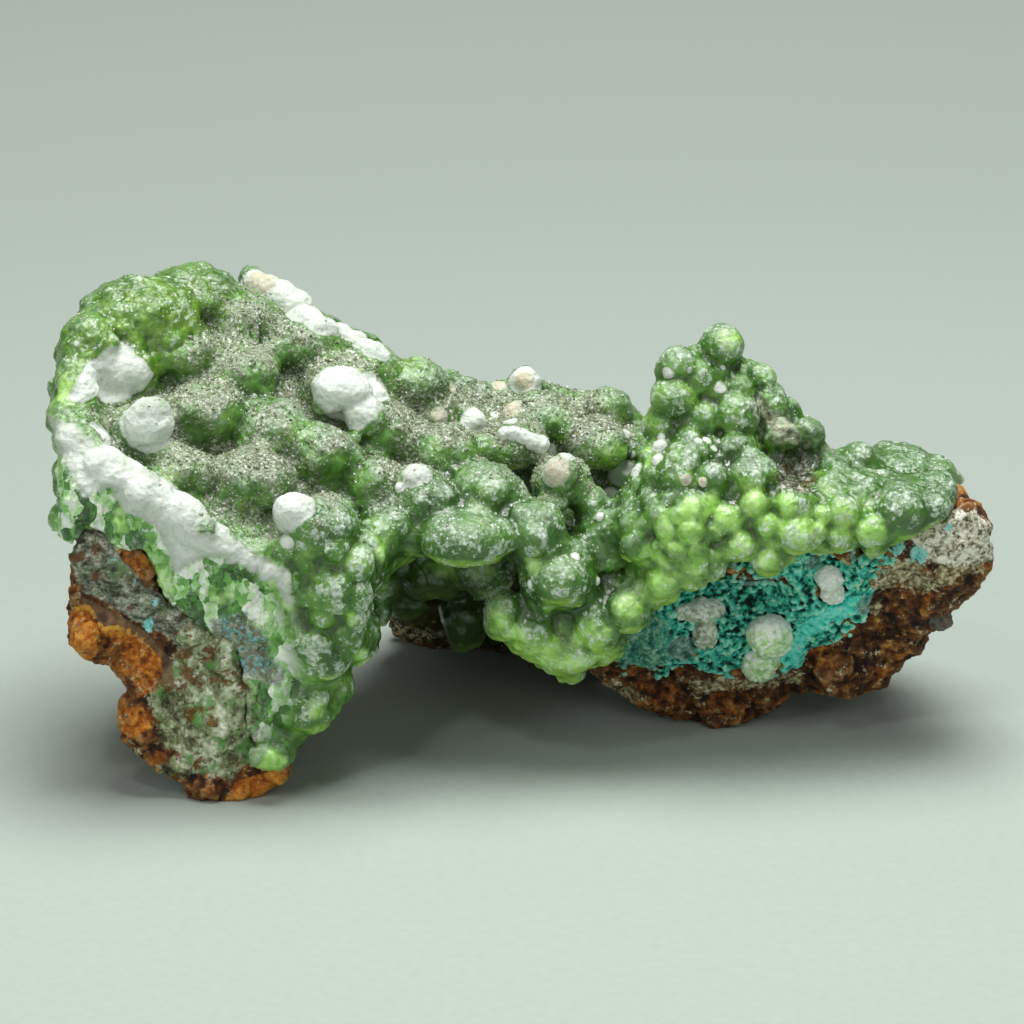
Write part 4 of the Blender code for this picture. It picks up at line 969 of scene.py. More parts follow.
# Rock that shows through: grey and brown crumbs, some turquoise.
crumbs = split(cells(0.5, "Color"))
stone = ramp(frayed(coarse, crumbs[0], 0.2), (0.28, "#35342a"), (0.42, "#6f7058"), (0.55, "#a3a88c"), (0.70, "#dadfc8"))
stone = mixed(between(cloud, 0.55, 0.63, 0.0, 0.5), stone, linear("#6b4a2c"))
stone = mixed(between(cloud, 0.47, 0.39, 0.0, 0.7), stone, linear("#5f8c46"))
skin = mixed(between(frayed(worn("rock"), fine, 1.1), 0.35, 0.7), skin, stone)
dark_stone = ramp(frayed(fine, crumbs[1], 0.25), (0.30, "#1d1c15"), (0.44, "#4a4a3d"), (0.57, "#82866f"), (0.72, "#c0c6ac"))
dark_stone = mixed(between(patches, 0.54, 0.64, 0.0, 0.7), dark_stone, linear("#6b4218"))
skin = mixed(between(frayed(worn("dark"), fine, 1.0), 0.35, 0.65), skin, dark_stone)
mottle = between(frayed(worn("specks"), coarse, 1.6), 0.5, 0.9, 0.0, 0.75)
skin = mixed(mottle, skin, ramp(frayed(fine, crumbs[1], 0.25), (0.34, "#39332c"), (0.5, "#6c6a5c"), (0.64, "#a9b8a4")))
teal = times(mottle, between(split(cells(0.34, "Color"))[2], 0.6, 0.66), between(cloud, 0.46, 0.54))
skin = mixed(teal, skin, ramp(grain, (0.35, "#2f8791"), (0.5, "#66b4ba"), (0.65, "#aedfdc")))
white_here = between(frayed(frayed(worn("white"), fine, 0.5), coarse, 0.5), 0.38, 0.62)
chalk = ramp(cloud, (0.3, "#c6d2c8"), (0.45, "#d8e1d7"), (0.6, "#e2e8df"), (0.72, "#e9eee6"))
# A greyer rim on each white ball: partly dust, partly painted shade on its sides.
chalk = mixed(between(worn("white"), 0.98, 0.55, 0.0, 0.55), chalk, linear("#98a48c"))
chalk = mixed(between(fine, 0.50, 0.64, 0.0, 0.38), chalk, linear("#aab6a2"))
chalk = mixed(times(worn("tan"), between(grain, 0.35, 0.6, 0.4, 0.85)), chalk, linear("#b9ac82"))
pitted = node(tree, "ShaderNodeTexVoronoi", Vector=spot, Scale=1 / (0.62 * MM)).outputs
pits = times(between(pitted["Distance"], 0.14, 0.08, 0.0, 0.4), between(split(pitted["Color"])[2], 0.8, 0.85))
chalk = mixed(pits, chalk, linear("#77745f"))
skin = mixed(white_here, skin, chalk)
tree.links.new(skin, shader.inputs["Base Color"])
rough = sum_of("ADD", 0.12, times(frost_here, 0.4))
rough = sum_of("ADD", rough, times(between(fine, 0.4, 0.62), 0.14))
for layer, roughness in ((dust_here, 0.55), (white_here, 0.75), (between(worn("rock"), 0.2, 0.5), 0.7)):
    rough = sum_of("MAXIMUM", rough, times(layer, roughness))
tree.links.new(rough, shader.inputs["Roughness"])
shader.inputs["IOR"].default_value = 1.62
shader.inputs["Subsurface Weight"].default_value = 0.15
shader.inputs["Subsurface Radius"].default_value = (0.55, 1.0, 0.3)
shader.inputs["Subsurface Scale"].default_value = 0.0005
height = sum_of("ADD", sum_of("ADD", times(grain, 0.9), times(fine, 1.2)), times(pitted["Distance"], 1.1))
dull = sum_of("MAXIMUM", sum_of("MAXIMUM", worn("frost"), worn("druse")), sum_of("MAXIMUM", worn("white"), worn("broken")))
height = sum_of("ADD", times(crystal_light, worn("druse"), 0.8), times(height, between(dull, 0.0, 0.6, 0.45, 1.0)))
bump = node(tree, "ShaderNodeBump", Height=height, Strength=0.75, Distance=0.00016)
tree.links.new(bump.outputs["Normal"], shader.inputs["Normal"])
crust.data.materials.append(smithsonite)
print("smithsonite ready")

# %% Cut the crust in pieces
# One mesh of that size is slow to handle, so the finished skin is parted into closed pieces that meet face to face.
# It is parted between its own faces, along wavy lines, so the skin is the same on both sides of a cut. Each cut is
# filled with flat faces, which don't bend the light on the skin beside them.
def cut_up(whole, names, edges):
    """Closed pieces of an object, from left to right, parted at the edges in mm."""
    alone(whole)
    bpy.ops.object.shade_smooth()
    rest, pieces = whole, []
    for name, edge in zip(names, edges):
        middles = np.empty(len(rest.data.polygons) * 3, np.float32)
        rest.data.polygons.foreach_get("center", middles)
        x, y, z = (middles.reshape(-1, 3) / MM).T
        waves = 1.4 * np.sin(0.5 * z + 0.4 * y + edge) + 0.7 * np.sin(0.9 * y - 0.5 * z)
        alone(rest)
        bpy.ops.object.mode_set(mode="EDIT")
        bpy.ops.mesh.select_mode(type="FACE")
        bpy.ops.mesh.select_all(action="DESELECT")
        bpy.ops.object.mode_set(mode="OBJECT")
        rest.data.polygons.foreach_set("select", x < edge + waves)
        bpy.ops.object.mode_set(mode="EDIT")
        bpy.ops.mesh.separate(type="SELECTED")
        bpy.ops.object.mode_set(mode="OBJECT")
        piece = next(obj for obj in bpy.context.selected_objects if obj is not rest)
        piece.name = name
        pieces.append(piece)
    rest.name = names[-1]
    pieces.append(rest)
    for piece in pieces:
        alone(piece)
        of_skin = len(piece.data.polygons)
        bpy.ops.object.mode_set(mode="EDIT")
        bpy.ops.mesh.select_mode(type="EDGE")
        bpy.ops.mesh.select_all(action="SELECT")
        bpy.ops.mesh.fill_holes(sides=0)
        bpy.ops.object.mode_set(mode="OBJECT")
        piece.data.polygons.foreach_set("use_smooth", np.arange(len(piece.data.polygons)) < of_skin)
        print(piece.name, len(triangles_of(piece)), "triangles,", len(piece.data.polygons) - of_skin, "fill faces,",
              open_edges(piece), "open edges")
    return pieces


def open_edges(piece):
    """How many edges belong to another number of faces than two."""
    numbers = np.empty(len(piece.data.loops), np.int32)
    piece.data.loops.foreach_get("edge_index", numbers)
    return int((np.bincount(numbers, minlength=len(piece.data.edges)) != 2).sum())


skin_points, skin_faces = points_of(crust), triangles_of(crust)
crust_pieces = cut_up(crust, ("crust_left_lobe", "crust_left_shoulder", "crust_bridge", "crust_right"), (-27.0, -10.5, 10.0))
print("cut", round(time.time() - started, 1), "s")

# %% [markdown]
# ## The sparkling dust
#
# The last thing that grew on the upper side is a dust of loose crystals, a fifth to a third of a millimetre across.
# A crystal of this mineral is a rhombohedron: a cube that is drawn out along one diagonal. One is modelled and
# copied, turned at random, half sunk in the skin, most thickly where the dust is painted.

# %% Model one crystal
bpy.ops.mesh.primitive_cube_add(size=1.0)
crystal_form = bpy.context.object
bpy.ops.object.mode_set(mode="EDIT")
bpy.ops.transform.rotate(value=math.radians(45), orient_axis="X", center_override=(0, 0, 0))
bpy.ops.transform.rotate(value=math.atan(math.sqrt(0.5)), orient_axis="Y", center_override=(0, 0, 0))
bpy.ops.transform.resize(value=(1.0, 1.0, 0.7))
bpy.ops.object.mode_set(mode="OBJECT")
GRAIN_POINTS, GRAIN_FACES = points_of(crystal_form), triangles_of(crystal_form)
bpy.data.objects.remove(crystal_form)

# %% Strew the crystals
GRAIN_COUNT = 11000
dusty = druse * (0.4 + 0.6 * rng.random(len(skin_points)))
wanted = dusty[skin_faces].mean(axis=1) ** 1.4 + 0.02 * (top * (1 - white))[skin_faces].mean(axis=1)
a, b, c = (skin_points[skin_faces[:, i]] for i in range(3))
cross = np.cross(b - a, c - a)
area = np.linalg.norm(cross, axis=1)
share = wanted * area
picks = rng.choice(len(skin_faces), size=GRAIN_COUNT, p=share / share.sum())
mix_of = rng.dirichlet((1, 1, 1), GRAIN_COUNT)
spots = a[picks] * mix_of[:, :1] + b[picks] * mix_of[:, 1:2] + c[picks] * mix_of[:, 2:]
grain_sizes = np.clip(rng.lognormal(math.log(0.135), 0.35, (GRAIN_COUNT, 1)), 0.09, 0.32) * rng.uniform(0.8, 1.25, (GRAIN_COUNT, 3)) * MM
turns = turned_to(rng.normal(size=(GRAIN_COUNT, 3)), rng)
grains = copies("druse_grains", spots, grain_sizes, turns, GRAIN_POINTS, GRAIN_FACES)
tone = np.where(druse[skin_faces[picks, 0]] > 0.2, rng.random(GRAIN_COUNT), rng.uniform(0.75, 1.0, GRAIN_COUNT))
tone = np.repeat(tone, len(GRAIN_POINTS)).astype(np.float32)
grains.data.attributes.new("tone", "FLOAT", "POINT").data.foreach_set("value", tone)
print("grains:", len(triangles_of(grains)), "triangles")

# %% Make the crystals' material
druse_crystals, shader = started_material("druse_crystals")
light = ramp(worn("tone"), (0.05, "#4f5d3a"), (0.3, "#6c7652"), (0.6, "#8a9074"), (0.88, "#abb09b"), (0.98, "#e0e6da"))
tree.links.new(mixed(between(noise(0.2), 0.4, 0.6, 0.0, 0.25), light, linear("#6f7a58")), shader.inputs["Base Color"])
shader.inputs["Roughness"].default_value = 0.35
shader.inputs["IOR"].default_value = 1.62
grains.data.materials.append(druse_crystals)

# %% [markdown]
# ## The limonite
#
# Limonite is rust-brown iron oxide, left where older ore weathered. It breaks with a rough, porous face, has earthy
# ochre in its hollows and darker, harder brown on its edges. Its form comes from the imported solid, and cells and
# clouds of several sizes give the broken grain.

# %% Shape the limonite
MATRIX_VOXEL = 0.33
matrix = copy_of("limonite_matrix", "matrix")
modified(matrix, "REMESH", mode="VOXEL", voxel_size=0.5 * MM)
matrix = only_largest(matrix)
modified(matrix, "SMOOTH", factor=0.5, iterations=3)
matrix_tree = tree_of(matrix)
KNOBS = (
    (-41.2, 15.5, 1.2, 0.5), (-38.0, 6.8, 1.3, 0.5), (-37.4, 4.6, 1.5, 0.5), (-38.8, 8.8, 1.2, 0.3),
    (-32.4, 8.3, (1.8, 1.4, 1.4), 0.5), (-31.0, 2.4, (2.6, 2.4, 2.2), 0.4), (-34.6, 2.6, 1.4, 0.4),
    (-43.6, 17.2, (1.6, 2.4, 1.6), 0.4), (35.0, 22.6, (2.6, 2.2, 2.0), 0.7), (38.6, 22.6, 1.4, 0.4),
    (42.0, 18.0, 1.3, 0.3), (44.0, 25.5, (2.2, 1.6, 1.6), 0.5), (40.6, 26.6, 1.4, 0.5), (28.0, 34.5, 1.4, 0.4),
    (17.5, 11.6, 1.4, 0.4), (20.5, 9.2, (2.4, 1.4, 1.4), 0.5), (14.4, 9.8, 1.3, 0.4),
    (30.5, 14.0, (2.2, 3.0, 2.0), 0.3), (38.0, 15.5, (2.6, 2.6, 2.0), 0.3), (33.4, 23.8, 1.0, 0.5),
    (36.8, 24.4, 0.9, 0.4), (39.8, 24.6, 1.0, 0.4), (24.6, 9.4, 1.4, 0.4), (45.4, 22.0, 1.2, 0.4),
)
knobs, _, _ = studs("knobs", matrix_tree, KNOBS)
matrix = fused([matrix, knobs], MATRIX_VOXEL, smooth=1)
matrix.name = "matrix"
crust_solid = copy_of("smithsonite_crust", "crust_solid")
thinned(matrix, tree_of(crust_solid), 0.08)
bpy.data.objects.remove(crust_solid)
print("limonite form:", len(matrix.data.polygons), "faces", round(time.time() - started, 1), "s")

# %% Say where the limonite's patches are
ORANGE = (
    ((-45.2, 18.7), (-44.0, 19.7), (-42.8, 19.2), (-42.1, 17.8), (-42.3, 15.3), (-43.3, 14.4), (-44.5, 15.6)),
    ((-42.1, 17.8), (-39.4, 17.3), (-37.5, 16.5), (-36.0, 14.8), (-35.8, 13.1), (-36.7, 11.5), (-38.2, 10.7),
     (-38.7, 12.4), (-39.9, 13.6), (-39.9, 15.3), (-41.3, 16.8)),
    ((-28.8, 2.2), (-23.4, 4.0), (-23.6, 2.6), (-27.0, 0.6), (-29.8, 0.2)),
    ((-39.6, 9.6), (-37.8, 9.8), (-37.0, 7.8), (-38.6, 6.6), (-39.8, 7.4)),
)
CHALCEDONY = ((-43.6, 20.8), (-41.3, 19.6), (-38.7, 18.2), (-36.7, 16.8), (-34.8, 14.4), (-34.6, 12.2), (-35.8, 12.2),
              (-35.9, 14.6), (-37.3, 16.4), (-39.6, 17.4), (-42.0, 18.0), (-43.4, 19.6))
OCHRE_LINE = ((-43.9, 19.6, 0.45), (-43.4, 19.7, 0.45), (-43.0, 19.6, 0.45), (-42.6, 19.2, 0.4), (-42.4, 18.7, 0.4),
              (-41.9, 17.9, 0.4), (-41.4, 17.5, 0.4), (-40.9, 17.7, 0.4), (-40.3, 17.8, 0.4), (-39.8, 17.7, 0.4),
              (-39.2, 17.4, 0.4), (-38.4, 17.1, 0.35), (-37.6, 16.7, 0.35), (-37.1, 15.9, 0.3), (-36.8, 15.3, 0.3),
              (-36.2, 14.7, 0.3))
CREAM = (
    ((31.6, 25.2), (37.4, 24.6), (41.0, 25.4), (40.0, 22.8), (37.6, 21.6), (34.0, 20.6), (31.8, 22.0)),
    ((17.0, 12.4), (23.0, 13.0), (29.0, 13.4), (28.0, 11.6), (22.0, 11.4), (17.0, 10.6)),
    ((7.4, 12.6), (12.0, 11.4), (13.4, 9.6), (8.0, 11.0)),
    ((25.0, 36.6), (30.0, 33.4), (33.0, 31.6), (34.0, 34.0), (28.0, 38.4), (25.0, 39.8)),
    ((28.6, 19.6), (36.4, 20.4), (36.0, 19.0), (29.0, 17.8)),
    ((37.0, 22.0), (44.0, 25.0), (46.6, 25.0), (45.6, 23.4), (40.0, 20.6)),
    ((-14.4, 18.2), (-11.0, 17.6), (-7.6, 17.0), (-8.0, 16.2), (-11.4, 16.4), (-14.4, 16.8)),
)
# Where the limonite is painted dark olive as shade, under the arch:
SHADE_UNDER_ARCH = ((-14.6, 23.0), (-14.6, 16.4), (-8.0, 15.6), (0.0, 13.6), (8.0, 10.6), (7.0, 14.0), (2.0, 22.0))
SPECKLE = ((38.6, 27.6), (41.4, 29.4), (45.0, 29.0), (47.4, 26.0), (47.0, 24.4), (43.0, 23.8), (39.4, 24.4))
GREEN_GREY = (
    ((-37.0, 10.4), (-35.4, 14.0), (-33.0, 17.0), (-29.0, 15.0), (-25.0, 12.0), (-27.0, 4.0), (-33.0, 4.6),
     (-35.8, 6.0)),
    ((-36.4, 4.0), (-33.0, 5.2), (-28.0, 3.8), (-29.0, 2.6), (-33.0, 3.2), (-36.0, 3.0)),
    ((-35.6, 21.0), (-31.0, 18.6), (-28.0, 14.0), (-33.6, 14.6)),
)
TURQUOISE_CHIPS = ((-37.1, 18.0, 0.75), (-38.6, 22.4, 0.35), (-36.4, 20.2, 0.4), (-33.8, 16.0, 0.4), (37.4, 25.6, 0.8),
                   (39.6, 25.0, 1.1), (42.6, 27.6, 0.5), (-40.6, 24.4, 0.3))
GREY_RING = ((42.2, 18.0, 1.3),)


# %% Paint and roughen it
def rested(piece):
    """Flattens what would reach below the sheet."""
    points = points_of(piece)
    points[:, 2] = np.maximum(points[:, 2], 0.02 * MM)
    piece.data.vertices.foreach_set("co", points.astype(np.float32).ravel())
    piece.data.update()


paint = Paint(matrix, depth=1.6)
orange = largest_of(*[paint.patch(outline, 0.7) for outline in ORANGE])
cream = largest_of(*[paint.patch(outline, 1.2) for outline in CREAM])
grey = largest_of(*[paint.patch(outline, 1.6) for outline in GREEN_GREY])
chalcedony = paint.patch(CHALCEDONY, 0.4)
weighted(matrix, "hard", 1 - 0.55 * largest_of(orange, chalcedony))
modified(matrix, "DISPLACE", strength=0.2 * MM, mid_level=0.0)
roughened(matrix, "CLOUDS", 3.6, 1.0, "hard")
roughened(matrix, "VORONOI", 2.4, 0.8, "hard", middle=0.45)
roughened(matrix, "CLOUDS", 1.1, 0.7, "hard", noise_depth=3)
roughened(matrix, "VORONOI", 0.7, 0.4, middle=0.4)
roughened(matrix, "CLOUDS", 0.34, 0.26)
weighted(matrix, "rubble", largest_of(grey, 0.6 * cream, paint.patch(DARK_ROCK, 0.9)))
roughened(matrix, "VORONOI", 1.5, 0.8, "rubble", middle=0.45, distance_metric="CHEBYCHEV")
roughened(matrix, "CLOUDS", 0.6, 0.5, "rubble", noise_depth=3)
matrix.vertex_groups.clear()
rested(matrix)
paint.keep(
    orange=orange,
    cream=cream,
    shaded=paint.patch(SHADE_UNDER_ARCH, 1.0),
    grey=grey,
    dark=paint.patch(DARK_ROCK, 0.9),
    chip=paint.seen_spots(TURQUOISE_CHIPS, 0.9),
    ring=paint.seen_spots(GREY_RING, 0.3),
    speckle=paint.patch(SPECKLE, 0.9),
    chalcedony=chalcedony,
    ochre=0.8 * paint.seen_spots(OCHRE_LINE, 0.5),
    relief=relief_of(matrix, paint.normals, 10, 0.3),
    top=evened(matrix, eased((paint.normals[:, 2] - 0.25) / 0.5), 12),
)
matrix_pieces = cut_up(matrix, ("matrix_left", "matrix_right"), (-2.0,))
print("limonite painted", round(time.time() - started, 1), "s")

# %% Make the limonite's material
limonite, shader = started_material("limonite")
coarse = noise(1.4, 6.0, 0.7)
fine = noise(0.55, 6.0, 0.75)
high = worn("relief")
brown = ramp(frayed(coarse, high, 0.45), (0.32, "#120903"), (0.43, "#2b1508"), (0.54, "#4e2b10"), (0.64, "#704620"), (0.78, "#a2794a"))
rust = ramp(frayed(fine, high, 0.4), (0.28, "#4a240b"), (0.42, "#8f4a12"), (0.54, "#b96a1c"), (0.70, "#dc983c"))
own_rust = between(noise(3.2, 7.0, 0.7), 0.50, 0.62, 0.0, 0.6)
skin = mixed(sum_of("MAXIMUM", between(frayed(worn("orange"), fine, 0.7), 0.3, 0.65), own_rust), brown, rust)
# Painted shade: the limonite under the arch in a dark olive.
skin = mixed(times(worn("shaded"), 0.85), skin, ramp(coarse, (0.35, "#20240f"), (0.5, "#3a4420"), (0.65, "#5b6a38")))
crumbs = split(cells(0.36, "Color"))
pale = ramp(frayed(fine, crumbs[1], 0.4), (0.32, "#5d5136"), (0.46, "#8f8460"), (0.6, "#bdb38c"), (0.74, "#ddd6b8"))
skin = mixed(between(frayed(frayed(worn("cream"), fine, 1.8), coarse, 1.8), 0.5, 0.8, 0.0, 0.95), skin, pale)
own_pale = times(between(noise(1.3, 6.0, 0.8), 0.555, 0.61, 0.0, 0.95), between(high, 0.40, 0.52))
golden = mixed(between(noise(2.6, 4.0), 0.45, 0.55), ramp(fine, (0.35, "#7a5420"), (0.6, "#cda453")), pale)
skin = mixed(own_pale, skin, golden)
rubble = frayed(noise(2.6, 6.0, 0.68), crumbs[0], 0.12)
green_grey = ramp(rubble, (0.32, "#2c2415"), (0.41, "#606044"), (0.49, "#8f9872"), (0.57, "#c2ccaa"), (0.68, "#eef2e0"))
green_grey = mixed(between(noise(2.8, 6.0), 0.54, 0.62, 0.0, 0.75), green_grey, linear("#5d9a4c"))
green_grey = mixed(between(noise(2.3, 7.0, 0.65), 0.54, 0.60, 0.0, 0.85), green_grey, ramp(fine, (0.4, "#4a2a10"), (0.6, "#8d5a22")))
skin = mixed(between(frayed(worn("grey"), fine, 1.2), 0.32, 0.62), skin, green_grey)
turned_spot = node(tree, "ShaderNodeMapping", Vector=spot, Rotation=(0.0, math.radians(-38), 0.0), Scale=(0.45, 1.0, 1.0))
layered = noise(0.8, 6.0, 0.72, turned_spot.outputs["Vector"])
dark_stone = ramp(frayed(layered, crumbs[0], 0.12), (0.32, "#24241c"), (0.43, "#55584a"), (0.54, "#8b917c"), (0.68, "#d2d8c4"))
dark_stone = mixed(between(noise(2.0, 5.0), 0.54, 0.62, 0.0, 0.8), dark_stone, linear("#6b4218"))
dark_stone = mixed(between(noise(2.6, 5.0), 0.44, 0.36, 0.0, 0.7), dark_stone, linear("#5f8a52"))
skin = mixed(between(frayed(worn("dark"), fine, 0.9), 0.35, 0.6), skin, dark_stone)
salt = ramp(frayed(noise(0.9, 6.0, 0.8), crumbs[2], 0.15), (0.33, "#28241a"), (0.42, "#857f66"), (0.49, "#c8c4aa"), (0.58, "#f8f5e8"))
skin = mixed(between(frayed(frayed(worn("speckle"), fine, 1.2), coarse, 1.2), 0.35, 0.62), skin, salt)
skin = mixed(between(worn("ring"), 0.3, 0.7, 0.0, 0.8), skin, ramp(fine, (0.35, "#2c2b28"), (0.6, "#77756c")))
skin = mixed(between(worn("chalcedony"), 0.35, 0.7, 0.0, 0.9), skin, ramp(coarse, (0.35, "#4a3a2c"), (0.6, "#86694a")))
skin = mixed(between(frayed(worn("ochre"), fine, 0.9), 0.5, 0.9), skin, linear("#dba53e"))
skin = mixed(between(frayed(frayed(worn("chip"), fine, 2.0), coarse, 2.4), 0.62, 0.74), skin, ramp(fine, (0.35, "#2ba89f"), (0.6, "#a4e4df")))
tree.links.new(skin, shader.inputs["Base Color"])
shader.inputs["Roughness"].default_value = 0.7
shader.inputs["Specular IOR Level"].default_value = 0.3
bump = node(tree, "ShaderNodeBump", Height=noise(0.3, 5.0, 0.7), Strength=0.8, Distance=0.0002)
tree.links.new(bump.outputs["Normal"], shader.inputs["Normal"])
for piece in matrix_pieces:
    piece.data.materials.clear()
    piece.data.materials.append(limonite)

# %% [markdown]
# ## The turquoise lining
#
# Aurichalcite grows as a felt of soft little tufts. They stand side by side like crumbs, with black gaps between
# them. Each tuft is a small uneven ball on the rock, and fusing them with a fine voxel leaves the gaps as pits. The
# black in those pits is painted shade.

# %% Grow the lining
POCKET = ((6.9, 12.0), (8.0, 15.8), (12.7, 19.5), (14.6, 22.6), (18.0, 24.9), (24.4, 25.6), (28.0, 27.4), (31.4, 27.6),
          (36.4, 26.4), (37.4, 24.6), (34.0, 21.6), (34.6, 19.0), (33.0, 17.0), (29.0, 16.2), (27.2, 13.4), (25.0, 12.6),
          (21.5, 13.2), (16.5, 13.6), (12.0, 12.2))
STRIPE = ((25.6, 13.0), (27.6, 13.2), (29.0, 16.6), (33.2, 18.6), (35.0, 20.6), (32.0, 20.6), (28.4, 18.2), (26.4, 16.0))
LAYERED = ((6.9, 12.0), (8.0, 15.8), (12.7, 19.5), (14.5, 18.0), (14.8, 14.0), (12.0, 12.2))
TUFT_STEP = 0.40
left, right = min(across for across, _ in POCKET), max(across for across, _ in POCKET)
low, high = min(up for _, up in POCKET), max(up for _, up in POCKET)
grid_across, grid_up = np.meshgrid(np.arange(left, right, TUFT_STEP), np.arange(low, high, TUFT_STEP))
grid_across = (grid_across + TUFT_STEP * rng.random(grid_across.shape)).ravel()
grid_up = (grid_up + TUFT_STEP * rng.random(grid_up.shape)).ravel()
inside = outlined(grid_across, grid_up, POCKET) > 0
tufts = []
for across, up in zip(grid_across[inside], grid_up[inside]):
    spot_on_rock, normal_there = met(matrix_tree, across, up)
    layered_here = outlined(np.array([across]), np.array([up]), LAYERED)[0] > 0
    if spot_on_rock is not None and rng.random() < (0.25 if layered_here else 0.72):
        lift = 0.1 + 0.7 * rng.random() ** 2
        tufts.append((spot_on_rock + normal_there * lift * MM, rng.uniform(0.18, 0.42) * MM, normal_there))
centres = np.array([centre for centre, _, _ in tufts])
tuft_radii = np.array([radius for _, radius, _ in tufts])
sizes = np.stack([tuft_radii, tuft_radii, tuft_radii * 1.4], axis=1)
turns = turned_to(np.array([normal for _, _, normal in tufts]), rng)
lining_base = copy_of("aurichalcite_lining", "lining_base")
lining = fused([lining_base, copies("tufts", centres, sizes, turns)], 0.185, smooth=1)
lining.name = "turquoise_lining"
roughened(lining, "CLOUDS", 0.9, 0.45)
roughened(lining, "CLOUDS", 0.3, 0.2)
paint = Paint(lining, depth=3.0)
STAINED = (
    (29.6, 26.4, 1.6), (26.6, 25.8, 1.2), (33.0, 25.4, 1.4), (20.6, 24.0, 1.0), (34.4, 19.8, 1.2), (16.0, 15.4, 1.6),
    (22.6, 22.4, 0.9), (29.0, 24.0, 0.9), (30.6, 20.6, 0.9),
)
paint.keep(
    relief=relief_of(lining, paint.normals, 12, 0.16),
    stripe=paint.patch(STRIPE, 1.0),
    layered=paint.patch(LAYERED, 2.0),
    stain=paint.seen_spots(STAINED, 0.6),
)
print("lining:", len(tufts), "tufts,", len(triangles_of(lining)), "triangles", round(time.time() - started, 1), "s")

# %% Make the turquoise
aurichalcite, shader = started_material("aurichalcite_felt")
fine = noise(0.5, 5.0, 0.72)
# Painted shade: the colour runs to near black where the felt lies lowest, in the pits between the tufts.
depth = frayed(frayed(worn("relief"), fine, 0.8), noise(2.2, 4.0, 0.6), 0.5)
turquoise = ramp(depth, (0.28, "#0c1f19"), (0.38, "#175f50"), (0.50, "#2a9c88"), (0.64, "#52c0a8"), (0.88, "#98e0ca"))
bright = ramp(depth, (0.12, "#14897c"), (0.36, "#38c8b4"), (0.7, "#7ce6d4"))
turquoise = mixed(between(frayed(worn("stripe"), fine, 0.8), 0.3, 0.7), turquoise, bright)
crumbs = split(cells(0.3, "Color"))
turquoise = mixed(times(between(crumbs[0], 0.86, 0.9), between(depth, 0.4, 0.6), 0.6), turquoise, linear("#cfe0b8"))
layers = ramp(noise(0.7, 6.0, 0.72), (0.34, "#1b2218"), (0.44, "#2f6354"), (0.52, "#559a82"), (0.60, "#9cc0a0"), (0.72, "#c6c8a2"))
turquoise = mixed(between(frayed(worn("layered"), fine, 0.8), 0.25, 0.8, 0.0, 0.85), turquoise, layers)
stain = ramp(noise(0.9, 5.0, 0.7), (0.35, "#17332f"), (0.5, "#5d7f74"), (0.65, "#b9cdc4"))
turquoise = mixed(between(frayed(worn("stain"), fine, 1.0), 0.4, 0.8, 0.0, 0.8), turquoise, stain)
tree.links.new(turquoise, shader.inputs["Base Color"])
shader.inputs["Roughness"].default_value = 0.9
shader.inputs["Specular IOR Level"].default_value = 0.25
bump = node(tree, "ShaderNodeBump", Height=noise(0.16, 3.0), Strength=0.6, Distance=0.0001)
tree.links.new(bump.outputs["Normal"], shader.inputs["Normal"])
lining.data.materials.clear()
lining.data.materials.append(aurichalcite)

# %% [markdown]
# ## The pale growths in the pocket
#
# A few balls of smithsonite grew on the turquoise: a pale green pair, a grey-green group and a white one. Each has
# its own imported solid. A fine voxel and small cells give them the ribbed, frosted skin of a ball of crystals.


# %% Shape the pocket growths
def growth(cad_node, name, extra, ribs):
    made = copy_of(cad_node, name)
    modified(made, "REMESH", mode="VOXEL", voxel_size=0.25 * MM)
    modified(made, "SMOOTH", factor=0.5, iterations=4)
    lumps_on_it, _, _ = studs(name + "_lumps", tree_of(made), extra)
    made = fused([made, lumps_on_it], 0.13, smooth=2)
    made.name = name
    roughened(made, "CLOUDS", 1.4, 0.5)
    roughened(made, "VORONOI", ribs, -0.2, middle=0.4)
    roughened(made, "CLOUDS", 0.3, 0.12)
    painted = Paint(made, depth=2.0)
    painted.keep(relief=relief_of(made, painted.normals, 10, 0.2), top=evened(made, eased(painted.normals[:, 2]), 8))
    return made


pair = growth(
    "pocket_ball_pair",
    "pale_ball_pair",
    ((24.8, 16.9, (2.35, 2.2, 2.2), 0.3), (24.1, 14.2, (1.95, 1.8, 1.7), 0.35), (26.6, 15.0, 0.9, 0.3), (24.0, 18.6, 0.9, 0.3)),
    0.7,
)
group = growth(
    "pocket_cluster",
    "grey_green_group",
    ((18.2, 18.9, 1.5, 0.25), (18.5, 17.2, 1.3, 0.25), (15.9, 19.5, 0.9, 0.2), (16.9, 18.6, 1.0, 0.2)),
    0.55,
)
bead = growth("pocket_white_ball", "white_ball", ((31.4, 22.2, 1.5, 0.2), (30.9, 23.4, 0.9, 0.2)), 0.6)
print("growths:", [len(triangles_of(made)) for made in (pair, group, bead)], "triangles")


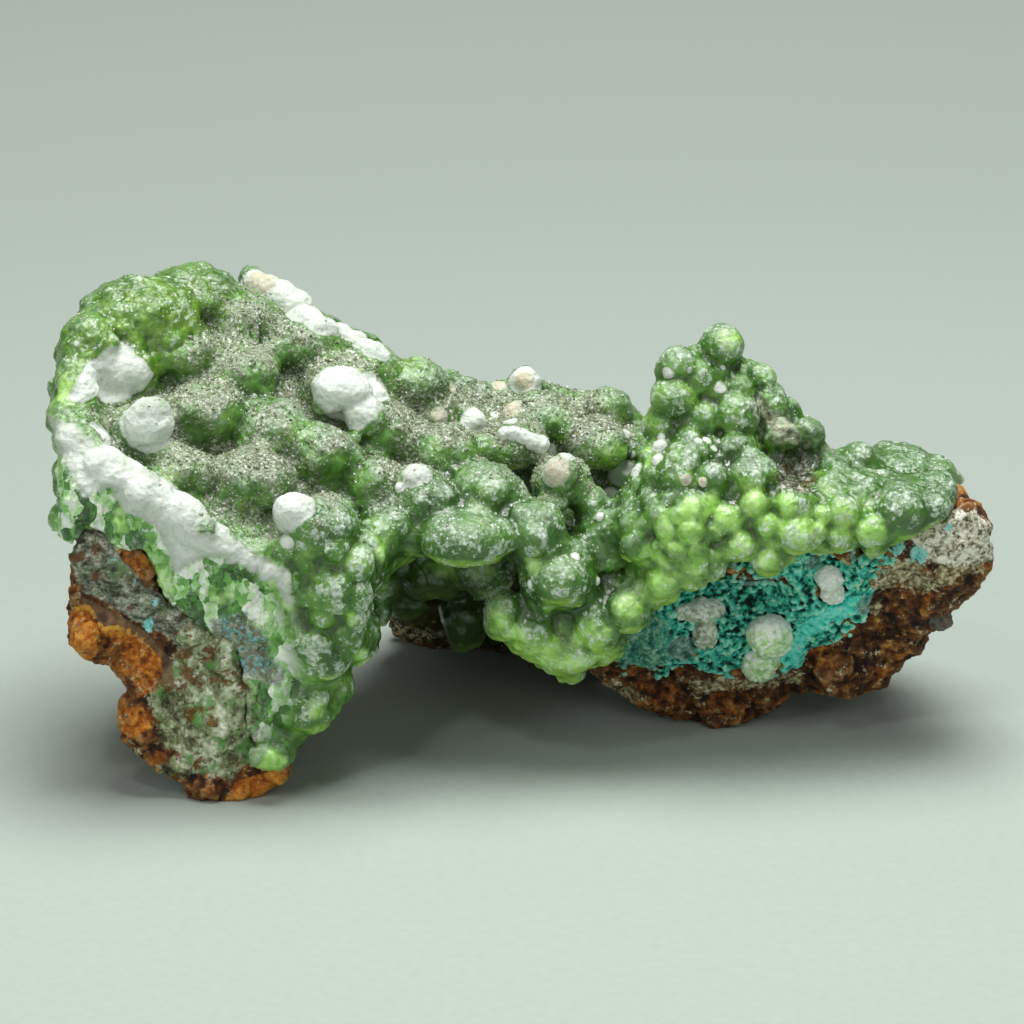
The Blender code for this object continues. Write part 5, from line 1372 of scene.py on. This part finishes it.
# %% Make their frosted skins
def frosted(name, deep, pale, white, spread):
    """Translucent smithsonite under a frosting of crystals: white on the crests, its own colour in the creases."""
    made, made_shader = started_material(name)
    under = ramp(noise(1.2, 4.0), (0.35, deep), (0.65, pale))
    cover = frayed(frayed(worn("relief"), noise(0.5, 6.0, 0.75), 1.0), worn("top"), 0.3)
    colour = mixed(between(cover, spread, spread + 0.3, 0.0, 0.85), under, linear(white))
    tree.links.new(colour, made_shader.inputs["Base Color"])
    made_shader.inputs["Roughness"].default_value = 0.5
    made_shader.inputs["IOR"].default_value = 1.62
    made_shader.inputs["Subsurface Weight"].default_value = 0.35
    made_shader.inputs["Subsurface Radius"].default_value = (0.6, 1.0, 0.5)
    made_shader.inputs["Subsurface Scale"].default_value = 0.0012
    made_bump = node(tree, "ShaderNodeBump", Height=noise(0.2, 3.0), Strength=0.7, Distance=0.0001)
    tree.links.new(made_bump.outputs["Normal"], made_shader.inputs["Normal"])
    return made


for piece, skin_of_it in (
    (pair, frosted("pale_green_smithsonite", "#8cc46a", "#d4ecbe", "#ffffff", 0.3)),
    (group, frosted("grey_green_smithsonite", "#6c7d5c", "#b9c8ac", "#f6faf2", 0.32)),
    (bead, frosted("white_smithsonite", "#c4d0bc", "#eef4ea", "#ffffff", 0.28)),
):
    piece.data.materials.clear()
    piece.data.materials.append(skin_of_it)

# %% [markdown]
# ## Finish
#
# Every piece rides on the one body, and the imported solid that it stands for is hidden.

# %% Attach each piece to the body and hide the solid it stands for
dressed = (
    (crust_pieces + [grains], "smithsonite_crust", "smithsonite"),
    (matrix_pieces, "limonite_matrix", "limonite"),
    ([lining], "aurichalcite_lining", "aurichalcite"),
    ([pair], "pocket_ball_pair", "pale_smithsonite"),
    ([group], "pocket_cluster", "grey_green_smithsonite"),
    ([bead], "pocket_white_ball", "white_smithsonite"),
)
for piece in (lining, pair, group, bead):
    alone(piece)
    bpy.ops.object.shade_smooth()
counts = {}
for pieces, cad_node, slot in dressed:
    for piece in pieces:
        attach(piece, "root")
        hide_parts(cad_node)
        counts[piece.name] = len(triangles_of(piece))
print("triangles:", counts, "in all", sum(counts.values()))

# %% Print the sizes of the solids and the pieces, and the time taken
visual_box = [list(corner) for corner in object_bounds()]
for name, box in (("solids", cad_box), ("pieces", visual_box)):
    print(name, "from", [round(v / MM, 1) for v in box[0]], "to", [round(v / MM, 1) for v in box[1]], "mm")
print("made in", round(time.time() - started, 1), "s")
